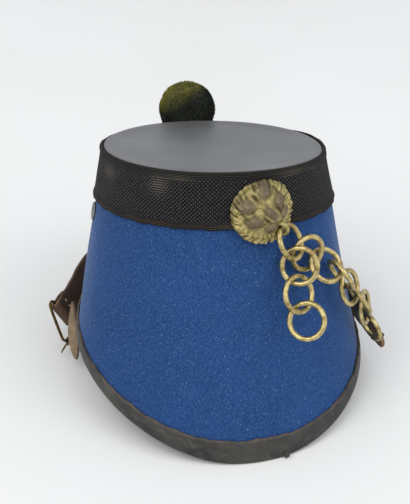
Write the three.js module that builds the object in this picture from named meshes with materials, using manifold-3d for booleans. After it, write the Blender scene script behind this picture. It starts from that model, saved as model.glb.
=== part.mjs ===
// A blue cloth shako: hollow cloth crown, leather top, woven band, bound rim, peak,
// pompom, cast lion boss, chain of wire rings and a buckled chin strap.
// Millimetres, +Z up. The front of the hat faces -Y and the hat rests on z = 0.
import * as THREE from 'three';
import { mergeVertices } from 'three/addons/utils/BufferGeometryUtils.js';
import Module from 'manifold-3d';

const wasm = await Module();
wasm.setup();

const rad = Math.PI / 180;
const gap = 0.3; // clearance between touching pieces

// Crown: outer face of the cloth
const baseHalfWidth = 86.5;
const baseHalfLength = 94.5;
const topHalfWidth = 63.5;
const topHalfLength = 70.2;
const topHeight = 138.8; // middle of the top above the table
const topForward = 29; // middle of the top ahead of the middle of the base
const topAside = 2.1; // middle of the top towards the wearer's right
const topLean = 12.9 * rad; // forward lean of the top
const topRoll = 2.7 * rad; // the right side of the top is the lower one
const outlinePower = 2.06; // 2 is an ellipse, more is squarer
const clothWall = 2.2;
const columns = 72; // columns of faces round the hat

// Rim: the sides of the lower edge arch up and its front is raised
const rimArch = 15;
const frontLift = 15.9;
const restDip = 0.6; // how far the back of the rim is flattened where it rests
const leftDraw = 5.8; // how far the rim is drawn up the wall on the wearer's left
const drawPower = 1.4; // how soon the rim and its binding change towards the sides

// Leather and woven trim
const bindingThick = 1.2;
const bindingHeight = 13.6; // at the back, less towards both sides
const bindingNarrow = 0.5; // share it loses on the wearer's right
const bindingInside = 1.6; // how far the inner edge stays below the outer
const bandHeight = 30.4;
const bandThick = 1.4;
const bandRise = 0.4; // how far the band stands above the top leather
const selvageWide = 3;
const selvageThick = 0.5;
const topThick = 2.6;
const topLip = 6; // width of the rounded edge of the top leather
const topSink = 0.8; // how far the top leather dips inside its edge

// Peak
const peakReach = 42;
const peakHalfAngle = 47 * rad;
const peakThick = 2.4;
const peakEdgeWide = 4;
const peakEdgeThick = 3.4;
const peakSetDown = 1.6; // its root below the lower edge of the rim
const peakFlat = 0.9; // its edge rests on the table where it reaches out this share

// Pompom
const pompomRadius = 18.6;
const pompomAside = 4; // towards the wearer's right
const pompomRise = 0; // its centre above the front of the top
const tuftCount = 56;
const tuftWide = 5.2;
const coreShare = 0.8; // core radius as a share of the pompom's
const stemRadius = 2;
const stemLength = 16;
const stemReach = 6; // from the band to the peg
const stemPlateWide = 10;
const stemPlateThick = 1.4;

// Lion boss
const bossAngle = 97.2 * rad; // round the hat from the wearer's left, back at 90
const bossFromTop = 20.6; // its centre below the top edge, along the wall
const bossRadius = 16.8;
const bossEdge = 3; // thickness at the edge
const bossDome = 5; // extra thickness of the plain dome at the centre
const faceTurn = 39 * rad;
const maneLocks = 22;
const maneRelief = 1;
const hookRootAcross = 12; // where the eye joins the boss, from its centre
const hookRootUp = -5.3;

// Ventilation eyelet
const ventAngle = -6 * rad;
const ventFromTop = 39.5;
const ventRadius = 5.5;
const ventHole = 2;
const ventTube = 0.8;
const ventFlange = 1.2;

// Chain of wire rings
const ringRadius = 9.75; // to the middle of the wire
const ringWire = 1.5;
const ringSides = 14;
const wireSides = 6;
const hookEye = 3.7;
const hookWire = 1.25;

// Chin strap and its buckle
const strapWide = 17.3;
const strapThick = 2.2;
const foldLength = 15;
const buckleWire = 1.05;
const buckleOverhang = 2.4; // how far the upper bar passes the strap's edges
const buckleDrop = 18.9; // from the upper bar to the lower bar
const buckleLowerHalf = 6;
const buckleBend = 1.9; // rounding of the buckle's corners
const buckleStep = 5.2; // how far its sides run out past the fold
const tongueWire = 0.8;
const tongueLength = 9;
const tabWide = 12; // the tab is a leaf as wide as this at its middle
const tabThick = 2;
const tabLoopWire = 1;

const vec = (x, y, z) => new THREE.Vector3(x, y, z);

// Shares of the half sizes of the rounded outline at an angle round the hat
function outline(angle) {
  const c = Math.cos(angle);
  const s = Math.sin(angle);
  const power = 2 / outlinePower;
  return [Math.sign(c) * Math.abs(c) ** power, Math.sign(s) * Math.abs(s) ** power];
}

function rimPoint(angle) {
  const [c, s] = outline(angle);
  const rise = (frontLift * (1 - s)) / 2 + rimArch * c * c - restDip;
  const foot = vec(baseHalfWidth * c, baseHalfLength * s, Math.max(0, rise));
  return foot.lerp(topPoint(angle), (leftDraw * Math.max(0, c) ** drawPower) / topHeight);
}

// Height of the rim binding: its upper edge is level with the undrawn rim on the left
function bindingAt(angle) {
  const [c] = outline(angle);
  const lost = c > 0 ? leftDraw : bindingNarrow * bindingHeight;
  return bindingHeight - lost * Math.abs(c) ** drawPower;
}

function topPoint(angle) {
  const [c, s] = outline(angle);
  const x = topHalfWidth * c - topAside;
  const y = topHalfLength * Math.cos(topLean) * s - topForward;
  const lean = topHalfLength * Math.sin(topLean) * s;
  const roll = topHalfWidth * Math.sin(topRoll) * c;
  return vec(x, y, topHeight + lean + roll);
}

// Horizontal direction out of the hat
function outward(angle) {
  const [c, s] = outline(angle);
  const x = (Math.sign(c) * Math.abs(c) ** (outlinePower - 1)) / baseHalfWidth;
  const y = (Math.sign(s) * Math.abs(s) ** (outlinePower - 1)) / baseHalfLength;
  return vec(x, y, 0).normalize();
}

function wallLength(angle) {
  return rimPoint(angle).distanceTo(topPoint(angle));
}

// Point on the wall: length up from the rim, and how far out of the cloth
function wallPoint(angle, length, out) {
  const share = length / wallLength(angle);
  const point = rimPoint(angle).lerp(topPoint(angle), share);
  return point.addScaledVector(outward(angle), out);
}

// Frame of the wall at a point: right and up as seen from outside, and the normal
function wallFrame(angle, length) {
  const step = 0.01;
  const round = wallPoint(angle + step, length, 0).sub(wallPoint(angle - step, length, 0));
  const up = wallPoint(angle, length + 1, 0).sub(wallPoint(angle, length - 1, 0)).normalize();
  const normal = round.clone().cross(up).normalize();
  const right = up.clone().cross(normal).normalize();
  return { right, up: normal.clone().cross(right).normalize(), normal };
}

// Closed geometry with its faces turned outward
function closed(points, faces) {
  let volume = 0;
  for (const [a, b, c] of faces) {
    volume += points[a].dot(points[b].clone().cross(points[c]));
  }
  const index = faces.flatMap(([a, b, c]) => (volume > 0 ? [a, b, c] : [a, c, b]));
  const geometry = new THREE.BufferGeometry();
  geometry.setFromPoints(points);
  geometry.setIndex(index);
  return geometry;
}

// Skin between rows of points, each row a closed loop. The rows join up into a ring
// themselves, or both ends are closed by a fan about a middle point.
function skin(rows, joined, first, last) {
  const size = rows[0].length;
  const points = rows.flat();
  const faces = [];
  const spans = joined ? rows.length : rows.length - 1;
  for (let i = 0; i < spans; i += 1) {
    const next = (i + 1) % rows.length;
    for (let j = 0; j < size; j += 1) {
      const k = (j + 1) % size;
      faces.push([i * size + j, i * size + k, next * size + k]);
      faces.push([i * size + j, next * size + k, next * size + j]);
    }
  }
  if (!joined) {
    const start = points.push(first) - 1;
    const end = points.push(last) - 1;
    const tail = (rows.length - 1) * size;
    for (let j = 0; j < size; j += 1) {
      const k = (j + 1) % size;
      faces.push([start, k, j]);
      faces.push([end, tail + j, tail + k]);
    }
  }
  return closed(points, faces);
}

const middle = (row) => row.reduce((sum, p) => sum.add(p), vec(0, 0, 0)).divideScalar(row.length);

const capped = (rows) => skin(rows, false, middle(rows[0]), middle(rows[rows.length - 1]));

// Hoop round the whole hat from a section given as pairs of length and out
function hoop(section) {
  const rows = [];
  for (let i = 0; i < columns; i += 1) {
    const angle = (i / columns) * 2 * Math.PI;
    rows.push(section(wallLength(angle), angle).map(([up, out]) => wallPoint(angle, up, out)));
  }
  return skin(rows, true);
}

function toSolid(geometry) {
  let plain = geometry.clone();
  plain.deleteAttribute('normal');
  plain.deleteAttribute('uv');
  plain = mergeVertices(plain, 1e-4);
  const mesh = new wasm.Mesh({
    numProp: 3,
    vertProperties: new Float32Array(plain.getAttribute('position').array),
    triVerts: new Uint32Array(plain.getIndex().array),
  });
  return new wasm.Manifold(mesh);
}

function fromSolid(solid) {
  const mesh = solid.getMesh();
  const geometry = new THREE.BufferGeometry();
  geometry.setAttribute('position', new THREE.BufferAttribute(mesh.vertProperties, 3));
  geometry.setIndex(new THREE.BufferAttribute(mesh.triVerts, 1));
  return geometry;
}

// Fuses geometries that overlap into one body
function fuse(list) {
  return fromSolid(list.map(toSolid).reduce((sum, solid) => sum.add(solid)));
}

// Geometry whose own +Z is laid along a direction, with its origin at a point
function aimed(geometry, at, direction) {
  const turn = new THREE.Quaternion();
  turn.setFromUnitVectors(vec(0, 0, 1), direction.clone().normalize());
  const place = new THREE.Matrix4().compose(at, turn, vec(1, 1, 1));
  return geometry.clone().applyMatrix4(place);
}

// Round rod between two points
function rod(from, to, startRadius, endRadius, sides) {
  const span = to.clone().sub(from);
  const geometry = new THREE.CylinderGeometry(endRadius, startRadius, span.length(), sides);
  geometry.rotateX(Math.PI / 2);
  return aimed(geometry, from.clone().lerp(to, 0.5), span);
}

const model = new THREE.Group();

function add(name, geometry, color, roughness, metalness) {
  let plain = geometry.clone();
  plain.deleteAttribute('normal');
  plain.deleteAttribute('uv');
  plain = mergeVertices(plain, 1e-4);
  plain.computeVertexNormals();
  const material = new THREE.MeshStandardMaterial({ color, roughness, metalness });
  const mesh = new THREE.Mesh(plain, material);
  mesh.name = name;
  model.add(mesh);
  return mesh;
}

// Crown: the cloth wall stands in the folded rim binding and stops under the top leather
const crownFoot = bindingThick + gap;
const crownHead = topThick + 3 * gap;
const cloth = hoop((length) => [
  [crownFoot, 0],
  [length / 2, 0],
  [length - crownHead, 0],
  [length - crownHead, -clothWall],
  [length / 2, -clothWall],
  [crownFoot, -clothWall],
]);

// The eyelet is set through a round hole in the cloth
const ventUp = wallLength(ventAngle) - ventFromTop;
const ventPlace = wallPoint(ventAngle, ventUp, 0);
const ventNormal = wallFrame(ventAngle, ventUp).normal;
const ventDeep = clothWall + 1.5;
const ventDrill = rod(
  ventPlace.clone().addScaledVector(ventNormal, -2 * ventDeep),
  ventPlace.clone().addScaledVector(ventNormal, 2 * ventDeep),
  ventHole + ventTube + gap,
  ventHole + ventTube + gap,
  16,
);
add('crown', fromSolid(toSolid(cloth).subtract(toSolid(ventDrill))), 0x4f80c8, 0.9, 0);

const ventLift = gap + 0.2; // the flat flange over the curved cloth
const ventProfile = [
  [ventHole, -ventDeep],
  [ventHole + ventTube, -ventDeep],
  [ventHole + ventTube, ventLift],
  [ventRadius, ventLift],
  [ventRadius - 0.6, ventLift + ventFlange],
  [ventHole + 0.5, ventLift + ventFlange],
  [ventHole, ventLift + ventFlange / 2],
  [ventHole, -ventDeep],
].map(([r, h]) => new THREE.Vector2(r, h));
const ventLathe = new THREE.LatheGeometry(ventProfile, 16);
ventLathe.rotateX(Math.PI / 2);
add('vent_eyelet', aimed(ventLathe, ventPlace, ventNormal), 0x8d8f90, 0.45, 0.8);

// Top leather: rings of points from its centre out over the lip and under
const topNormal = vec(
  -Math.sin(topRoll),
  -Math.sin(topLean),
  Math.cos(topLean),
).normalize();
const topCentre = vec(-topAside, -topForward, topHeight);

// columns: share of the distance from the edge to the centre, depth below the edge
const topRows = [
  [0.45, topSink],
  [1 - (topLip / topHalfWidth) * 1.6, topSink],
  [1 - topLip / topHalfWidth, topSink / 2],
  [1 - 1.2 / topHalfWidth, 0],
];

function topRing(share, depth) {
  const row = [];
  for (let i = 0; i < columns; i += 1) {
    const edge = topPoint((i / columns) * 2 * Math.PI);
    row.push(topCentre.clone().lerp(edge, share).addScaledVector(topNormal, -depth));
  }
  return row;
}

function edgeRing(depth) {
  const row = [];
  for (let i = 0; i < columns; i += 1) {
    const angle = (i / columns) * 2 * Math.PI;
    row.push(wallPoint(angle, wallLength(angle) - depth, 0));
  }
  return row;
}

const topStack = [
  ...topRows.map(([share, depth]) => topRing(share, depth)),
  edgeRing(0.9),
  edgeRing(topThick),
  topRing(0.45, topThick),
];
add('crown_top', capped(topStack), 0x6f7275, 0.5, 0);

// Woven band with a thicker selvage along each edge
const bandFace = gap + bandThick;
const selvageFace = bandFace + selvageThick;
const band = hoop((length) => [
  [length + bandRise, gap],
  [length + bandRise, selvageFace],
  [length - selvageWide, selvageFace],
  [length - selvageWide - selvageThick, bandFace],
  [length - bandHeight + selvageWide + selvageThick, bandFace],
  [length - bandHeight + selvageWide, selvageFace],
  [length - bandHeight, selvageFace],
  [length - bandHeight, gap],
]);
add('top_band', band, 0x2b2c2e, 0.85, 0);

// Rim binding: leather folded under the cloth, up its outside and its inside
const bindingOut = gap + bindingThick;
const bindingIn = -clothWall - gap - bindingThick;
const binding = hoop((length, angle) => [
  [bindingAt(angle), gap],
  [bindingAt(angle), bindingOut],
  [1, bindingOut],
  [0, bindingOut - 0.6],
  [0, bindingIn],
  [bindingAt(angle) - bindingInside, bindingIn],
  [bindingAt(angle) - bindingInside, bindingIn + bindingThick],
  [bindingThick, bindingIn + bindingThick],
  [bindingThick, gap],
]);
add('rim_binding', binding, 0x2a2422, 0.6, 0);

// Peak: a crescent that slopes from the rim down to the table
const peakRoot = bindingOut + gap;
const peakSteps = 22;
const peakRows = [];
for (let i = 0; i <= peakSteps; i += 1) {
  const turn = ((i / peakSteps) * 2 - 1) * peakHalfAngle;
  const angle = turn - Math.PI / 2;
  const reach = Math.max(1.5, peakReach * Math.cos(((turn / peakHalfAngle) * Math.PI) / 2));
  const edge = Math.min(peakEdgeWide, reach / 2);
  const way = outward(angle);
  const root = rimPoint(angle);
  root.addScaledVector(way, peakRoot);
  root.z -= peakSetDown;
  const slope = root.z / Math.max(reach, peakFlat * peakReach);
  const at = (out, up) => {
    const point = root.clone().addScaledVector(way, out);
    point.z += up - out * slope;
    return point;
  };
  peakRows.push([
    at(0, 0),
    at(0, peakThick),
    at(reach - edge, peakThick),
    at(reach - edge * 0.8, peakEdgeThick),
    at(reach, peakEdgeThick * 0.75),
    at(reach, 0),
  ]);
}
add('peak', capped(peakRows), 0x1d1a19, 0.35, 0);

// Pompom: tapered tufts spread evenly over a core and fused with it
const frontAngle = -Math.PI / 2 - pompomAside / topHalfWidth;
const frontTop = wallPoint(frontAngle, wallLength(frontAngle), selvageFace);
const pompomCentre = frontTop.clone();
pompomCentre.y -= pompomRadius + gap;
pompomCentre.z += pompomRise - 1;
const tufts = [new THREE.IcosahedronGeometry(pompomRadius * coreShare, 2)];
const goldenTurn = Math.PI * (3 - Math.sqrt(5));
for (let i = 0; i < tuftCount; i += 1) {
  const height = 1 - (2 * i + 1) / tuftCount;
  const ring = Math.sqrt(1 - height * height);
  const turn = i * goldenTurn;
  const way = vec(ring * Math.cos(turn), ring * Math.sin(turn), height);
  const tip = pompomRadius * (0.965 + 0.035 * Math.sin(i * 2.4));
  const inner = way.clone().multiplyScalar(pompomRadius * 0.6);
  const outer = way.clone().multiplyScalar(tip);
  tufts.push(rod(inner, outer, tuftWide * 0.3, tuftWide * 0.5, 5));
}
const pompom = add('pompom', fuse(tufts), 0x46551f, 1, 0);
pompom.position.copy(pompomCentre);

// Stem: a plate against the band, an arm and an upright peg under the pompom
const stemTop = pompomCentre.z - pompomRadius - gap;
const stemAt = vec(pompomCentre.x, frontTop.y - stemReach, stemTop);
const stemFoot = stemAt.clone().setZ(stemTop - stemLength);
const stemArm = stemTop - stemLength * 0.6;
const bandFoot = wallPoint(frontAngle, wallLength(frontAngle) - bandHeight, selvageFace);
const stemPlate = new THREE.BoxGeometry(stemPlateWide, stemPlateThick, stemLength);
stemPlate.translate(
  stemAt.x,
  Math.min(bandFoot.y, frontTop.y) - gap - stemPlateThick / 2,
  stemArm,
);
const stem = fuse([
  stemPlate,
  rod(stemFoot, stemAt, stemRadius, stemRadius, 12),
  rod(vec(stemAt.x, frontTop.y - 1, stemArm), vec(stemAt.x, stemAt.y, stemArm), 1.6, 1.6, 8),
  rod(stemAt.clone().setZ(stemTop - 1.5), stemAt, stemRadius + 2, stemRadius + 3, 12),
]);
add('pompom_stem', stem, 0x6a6a66, 0.5, 0.7);

// Chain. The rings' places on the wall and the ways they face are chosen by hand.
// columns: degrees round the hat, share of the way up the wall, distance out of the cloth
// in ring radii, and the direction of the ring's axis x, y, z
const chainRoute = [
  [107.11, 0.7734, 0.840, -0.63, 0.57, 0.53],
  [116.12, 0.7076, 0.674, 0.31, -0.95, -0.07],
  [108.32, 0.6985, 1.285, -0.49, -0.76, -0.43],
  [106.53, 0.6086, 1.384, -0.45, 0.77, 0.46],
  [106.80, 0.5309, 1.936, -0.53, -0.66, -0.53],
  [123.60, 0.6475, 1.007, -0.29, 0.58, 0.76],
  [130.76, 0.5843, 1.211, -0.85, -0.26, 0.45],
  [138.18, 0.4927, 1.054, -0.69, 0.63, 0.35],
  [145.57, 0.3970, 1.097, -0.83, -0.17, 0.52],
  [153.28, 0.2975, 1.023, -0.82, 0.53, 0.20],
  [157.05, 0.1807, 1.087, -0.92, -0.24, 0.32],
];
const ringShape = new THREE.TorusGeometry(ringRadius, ringWire, wireSides, ringSides);
const rings = chainRoute.map(([degrees, up, out, i, j, k], n) => {
  const mesh = add(`ring_${String(n + 1).padStart(2, '0')}`, ringShape, 0xb9a24c, 0.35, 0.9);
  const angle = degrees * rad;
  mesh.position.copy(wallPoint(angle, up * wallLength(angle), out * ringRadius));
  mesh.quaternion.setFromUnitVectors(vec(0, 0, 1), vec(i, j, k).normalize());
  return mesh;
});

// Lion boss: relief over the wall in the face's own axes, across and up, as shares of
// the boss radius. columns: across, up, half width across, half width up, height
const faceForms = [
  [0.15, 0.1, 0.5, 0.6, 2.6], // skull
  [-0.19, 0.48, 0.22, 0.19, 1.7], // brows
  [0.49, 0.46, 0.22, 0.19, 1.7],
  [-0.05, 0.22, 0.1, 0.07, -1.4], // eyes
  [0.35, 0.22, 0.1, 0.07, -1.4],
  [0.15, 0.05, 0.12, 0.36, 2.1], // bridge of the nose
  [0.15, -0.42, 0.15, 0.12, 1.9], // nose
  [-0.36, -0.02, 0.19, 0.19, 1.4], // cheeks
  [0.58, -0.1, 0.16, 0.19, 1.4],
  [-0.12, -0.52, 0.19, 0.14, 1.8], // muzzle
  [0.4, -0.52, 0.17, 0.14, 1.8],
  [0.13, -0.71, 0.16, 0.07, -1.3], // mouth
];
const bossUp = wallLength(bossAngle) - bossFromTop;
const bossWall = wallPoint(bossAngle, bossUp, 0);
const bossStep = 0.01;
const bossTurn = wallPoint(bossAngle + bossStep, bossUp, 0).distanceTo(bossWall) / bossStep;

function bossPoint(x, y, out) {
  return wallPoint(bossAngle + x / bossTurn, bossUp + y, selvageFace + gap + 0.2 + out);
}

function bossHeight(share, turn) {
  const across = share * Math.cos(turn - faceTurn);
  const up = share * Math.sin(turn - faceTurn);
  let height = bossEdge + bossDome * (1 - share * share);
  for (const [x, y, wide, tall, high] of faceForms) {
    const away = ((across - x) / wide) ** 2 + ((up - y) / tall) ** 2;
    height += high * Math.exp(-away);
  }
  const mane = THREE.MathUtils.smoothstep(share, 0.5, 0.72);
  const curl = turn * maneLocks + 5 * share;
  return height + mane * maneRelief * Math.cos(curl);
}

const bossColumns = 2 * maneLocks;
const bossShares = [0.09, 0.19, 0.29, 0.39, 0.49, 0.59, 0.69, 0.8, 0.91, 1];
const bossRows = bossShares.map((share) => {
  const row = [];
  for (let i = 0; i < bossColumns; i += 1) {
    const turn = (i / bossColumns) * 2 * Math.PI;
    const wave = share === 1 ? 1 + 0.025 * Math.cos(turn * maneLocks + 5) : 1;
    const reach = share * bossRadius * wave;
    const out = share === 1 ? bossEdge * 0.4 : bossHeight(share, turn);
    row.push(bossPoint(reach * Math.cos(turn), reach * Math.sin(turn), out));
  }
  return row;
});
const bossBack = bossRows[bossRows.length - 1].map((p, i) => {
  const turn = (i / bossColumns) * 2 * Math.PI;
  return bossPoint(bossRadius * Math.cos(turn), bossRadius * Math.sin(turn), 0);
});
const bossSolid = skin(
  [...bossRows, bossBack],
  false,
  bossPoint(0, 0, bossHeight(0, 0)),
  bossPoint(0, 0, 0),
);

// A cast eye on the boss holds the first ring at the nearest point of its wire
const firstRing = rings[0];
const ringAxis = vec(0, 0, 1).applyQuaternion(firstRing.quaternion);
const hookReach = bossPoint(0, 0, bossEdge).sub(firstRing.position);
hookReach.addScaledVector(ringAxis, -hookReach.dot(ringAxis)).setLength(ringRadius);
const hookAt = firstRing.position.clone().add(hookReach);
const hookAxis = ringAxis.clone().cross(hookReach).normalize();
const hookRoot = bossPoint(hookRootAcross, hookRootUp, bossEdge * 0.8);
const hookWay = hookRoot.clone().sub(hookAt);
hookWay.addScaledVector(hookAxis, -hookWay.dot(hookAxis)).normalize();
const hookJoin = hookAt.clone().addScaledVector(hookWay, hookEye);
const eye = aimed(new THREE.TorusGeometry(hookEye, hookWire, 6, 12), hookAt, hookAxis);
const hookStalk = rod(hookJoin, hookRoot, hookWire, hookWire * 1.3, 6);
const ringRoom = new THREE.TorusGeometry(ringRadius, ringWire + 2 * gap, 8, 2 * ringSides);
const ringNotch = toSolid(aimed(ringRoom, firstRing.position, ringAxis));
const notched = fromSolid(toSolid(bossSolid).subtract(ringNotch));
add('lion_boss', fuse([notched, eye, hookStalk]), 0x8f7d3c, 0.45, 0.85);

// Point beside the rim: distance out and height above the table in strap widths
function aroundRim(degrees, out, height) {
  const point = rimPoint(degrees * rad).addScaledVector(outward(degrees * rad), out * strapWide);
  return point.setZ(height * strapWide);
}

// Chin strap. Its route is chosen by hand and stands clear of the rim and the peak.
// columns: degrees round the hat, distance out from the rim and height above the table in
// strap widths, and lean of its upper edge away from the hat in degrees
const strapRoute = [
  [-19.6, 0.520, 1.600, 36],
  [-32.8, 0.450, 1.660, 36],
  [-47.6, 0.620, 1.930, 34],
  [-66.2, 1.106, 1.670, 22],
  [-83.2, 1.988, 1.387, 6],
  [-96.6, 2.217, 1.243, 0],
  [-109.6, 2.149, 1.214, -4],
  [-125.3, 1.778, 1.272, -6],
  [-145.2, 0.995, 1.387, -6],
  [-166.2, 0.432, 1.474, -8],
  [-181.0, 0.342, 1.503, -12],
  [-195.0, 0.639, 1.561, -16],
];
const strapCurve = new THREE.CatmullRomCurve3(
  strapRoute.map(([degrees, out, height]) => aroundRim(degrees, out, height)),
  false,
  'centripetal',
);
const strapLeans = strapRoute.map((row) => row[3] * rad);
const strapSteps = 40;

// Width direction and face direction of the strap at a share of its route
function strapFrame(share) {
  const ahead = strapCurve.getTangent(share);
  const at = share * (strapLeans.length - 1);
  const low = Math.min(Math.floor(at), strapLeans.length - 2);
  const lean = THREE.MathUtils.lerp(strapLeans[low], strapLeans[low + 1], at - low);
  const away = vec(-ahead.y, ahead.x, 0).normalize();
  const wide = vec(0, 0, Math.cos(lean)).addScaledVector(away, Math.sin(lean));
  wide.addScaledVector(ahead, -wide.dot(ahead)).normalize();
  return { ahead, wide, face: wide.clone().cross(ahead).normalize() };
}

function strapSection(centre, wide, face, half) {
  const corner = (a, b) =>
    centre.clone().addScaledVector(wide, a * half).addScaledVector(face, (b * strapThick) / 2);
  return [corner(1, 1), corner(1, -1), corner(-1, -1), corner(-1, 1)];
}

const strapStart = strapCurve.getPoint(0);
const startFrame = strapFrame(0);
const foldRadius = buckleWire + gap + strapThick / 2;
const foldFace = startFrame.face.clone();
const barCentre = strapStart.clone().addScaledVector(foldFace, foldRadius);
const strapRows = [];

// the folded end lies along the outer face and closes on it away from the bar
for (const share of [0, 0.5, 1]) {
  const off = THREE.MathUtils.lerp(strapThick + gap, 2 * foldRadius, share);
  const centre = strapStart.clone().addScaledVector(foldFace, off);
  centre.addScaledVector(startFrame.ahead, foldLength * (1 - share));
  strapRows.push(strapSection(centre, startFrame.wide, foldFace, strapWide / 2));
}
const foldSteps = 6;
for (let i = 1; i < foldSteps; i += 1) {
  const turn = (i / foldSteps) * Math.PI;
  const spoke = foldFace.clone().multiplyScalar(Math.cos(turn));
  spoke.addScaledVector(startFrame.ahead, -Math.sin(turn));
  const centre = barCentre.clone().addScaledVector(spoke, foldRadius);
  strapRows.push(strapSection(centre, startFrame.wide, spoke, strapWide / 2));
}
for (let i = 0; i <= strapSteps; i += 1) {
  const share = i / strapSteps;
  const frame = strapFrame(share);
  const centre = strapCurve.getPoint(share);
  strapRows.push(strapSection(centre, frame.wide, frame.face.clone().negate(), strapWide / 2));
}
const tipFrame = strapFrame(1);
for (const share of [0.4, 0.7, 0.9, 0.99]) {
  const centre = strapCurve.getPoint(1).addScaledVector(tipFrame.ahead, (share * strapWide) / 2);
  const half = (strapWide / 2) * Math.sqrt(1 - share * share);
  strapRows.push(strapSection(centre, tipFrame.wide, tipFrame.face.clone().negate(), half));
}
add('chin_strap', capped(strapRows), 0x4a3326, 0.7, 0);

// Closed wire through rounded corners
function wireLoop(corners, bend, radius, facing) {
  const rows = [];
  corners.forEach((corner, i) => {
    const before = corners[(i + corners.length - 1) % corners.length];
    const after = corners[(i + 1) % corners.length];
    const toBefore = before.clone().sub(corner).setLength(bend).add(corner);
    const toAfter = after.clone().sub(corner).setLength(bend).add(corner);
    const curve = new THREE.QuadraticBezierCurve3(toBefore, corner, toAfter);
    for (const share of [0, 0.5, 1]) {
      const centre = curve.getPoint(share);
      const ahead = curve.getTangent(share);
      const over = facing.clone().addScaledVector(ahead, -facing.dot(ahead)).normalize();
      const side = ahead.clone().cross(over);
      const row = [];
      for (let j = 0; j < wireSides; j += 1) {
        const turn = (j / wireSides) * 2 * Math.PI;
        const point = centre.clone().addScaledVector(over, radius * Math.cos(turn));
        row.push(point.addScaledVector(side, radius * Math.sin(turn)));
      }
      rows.push(row);
    }
  });
  return skin(rows, true);
}

// Buckle: the upper bar lies in the strap's fold and the lower bar hangs below it
const buckleHang = vec(-0.19, 0.47, -0.86).normalize();
const lowerWay = vec(0.93, 0.17, 0.32).normalize();
const upperWay = startFrame.wide;
const upperHalf = strapWide / 2 + buckleOverhang;
const lowerCentre = barCentre.clone().addScaledVector(buckleHang, buckleDrop);
const buckleOut = startFrame.ahead.clone().multiplyScalar(-buckleStep);
const buckleCorners = [
  barCentre.clone().addScaledVector(upperWay, upperHalf).add(buckleOut),
  barCentre.clone().addScaledVector(upperWay, upperHalf),
  barCentre.clone().addScaledVector(upperWay, -upperHalf),
  lowerCentre.clone().addScaledVector(lowerWay, -buckleLowerHalf),
  lowerCentre.clone().addScaledVector(lowerWay, buckleLowerHalf),
];
const buckleFacing = upperWay.clone().cross(buckleHang).normalize();
const buckle = wireLoop(buckleCorners, buckleBend, buckleWire, buckleFacing);
add('buckle_frame', buckle, 0x5d4f2c, 0.5, 0.8);

// Tongue: a small eye round the lower bar and a tapered prong
const tongueEye = buckleWire + tongueWire + gap + 0.1;
const tongueAt = lowerCentre.clone().addScaledVector(lowerWay, buckleLowerHalf * 0.45);
const tongueWay = vec(0.56, 0.26, -0.79).normalize();
const tongueRoot = tongueAt.clone().addScaledVector(tongueWay, tongueEye);
const tongueTip = tongueAt.clone().addScaledVector(tongueWay, tongueLength);
const tongue = fuse([
  aimed(new THREE.TorusGeometry(tongueEye, tongueWire, 6, 12), tongueAt, lowerWay),
  rod(tongueRoot, tongueTip, tongueWire, tongueWire * 0.6, 6),
]);
add('buckle_tongue', tongue, 0x5d4f2c, 0.5, 0.8);

// Tab: a leaf of suede with a narrow loop round the lower bar
const tabTop = aroundRim(-20.5, 0.262, 2.000);
const tabFoot = aroundRim(-6.0, 0.100, 0.430);
const tabFacing = vec(0.735, 0.4, 0.55);
const tabDown = tabFoot.clone().sub(tabTop);
const tabLength = tabDown.length();
tabDown.normalize();
const tabFace = tabFacing.addScaledVector(tabDown, -tabFacing.dot(tabDown)).normalize();
const tabAcross = tabDown.clone().cross(tabFace).normalize();
const leaf = new THREE.Shape();
leaf.moveTo(0, 0);
leaf.quadraticCurveTo(tabWide * 0.5, tabLength * 0.4, tabWide * 0.4, tabLength * 0.62);
leaf.quadraticCurveTo(tabWide * 0.34, tabLength * 0.9, 0, tabLength);
leaf.quadraticCurveTo(-tabWide * 0.3, tabLength * 0.8, -tabWide * 0.24, tabLength * 0.5);
leaf.quadraticCurveTo(-tabWide * 0.15, tabLength * 0.2, 0, 0);
const leafSolid = new THREE.ExtrudeGeometry(leaf, {
  depth: tabThick,
  bevelEnabled: false,
  curveSegments: 6,
});
leafSolid.translate(0, 0, -tabThick / 2);
const leafTurn = new THREE.Matrix4().makeBasis(tabAcross, tabDown, tabFace);
leafSolid.applyMatrix4(leafTurn.setPosition(tabTop));
const tabEye = buckleWire + tabLoopWire + gap + 0.2;
const tabLoopAt = lowerCentre.clone().addScaledVector(lowerWay, -buckleLowerHalf * 0.27);
const tabLoop = new THREE.TorusGeometry(tabEye, tabLoopWire, 6, 12);
const tabRoot = tabTop.clone().addScaledVector(tabDown, tabLength * 0.74);
tabRoot.addScaledVector(tabAcross, tabWide * 0.2);
const tabNeck = tabRoot.clone().sub(tabLoopAt);
tabNeck.addScaledVector(lowerWay, -tabNeck.dot(lowerWay)).setLength(tabEye).add(tabLoopAt);
const tab = fuse([
  leafSolid,
  aimed(tabLoop, tabLoopAt, lowerWay),
  rod(tabNeck, tabRoot, tabLoopWire, tabLoopWire, 6),
]);
add('buckle_tab', tab, 0x8d7a66, 0.9, 0);

// The whole hat is placed with the middle of its box over the origin, resting on z = 0
const hat = new THREE.Group();
hat.add(model);
const box = new THREE.Box3().setFromObject(model, true);
hat.position.set(-(box.min.x + box.max.x) / 2, -(box.min.y + box.max.y) / 2, -box.min.z);

export default hat;
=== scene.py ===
import math
import random

import bmesh
import bpy
import numpy as np
from mathutils import Matrix, Vector


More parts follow.
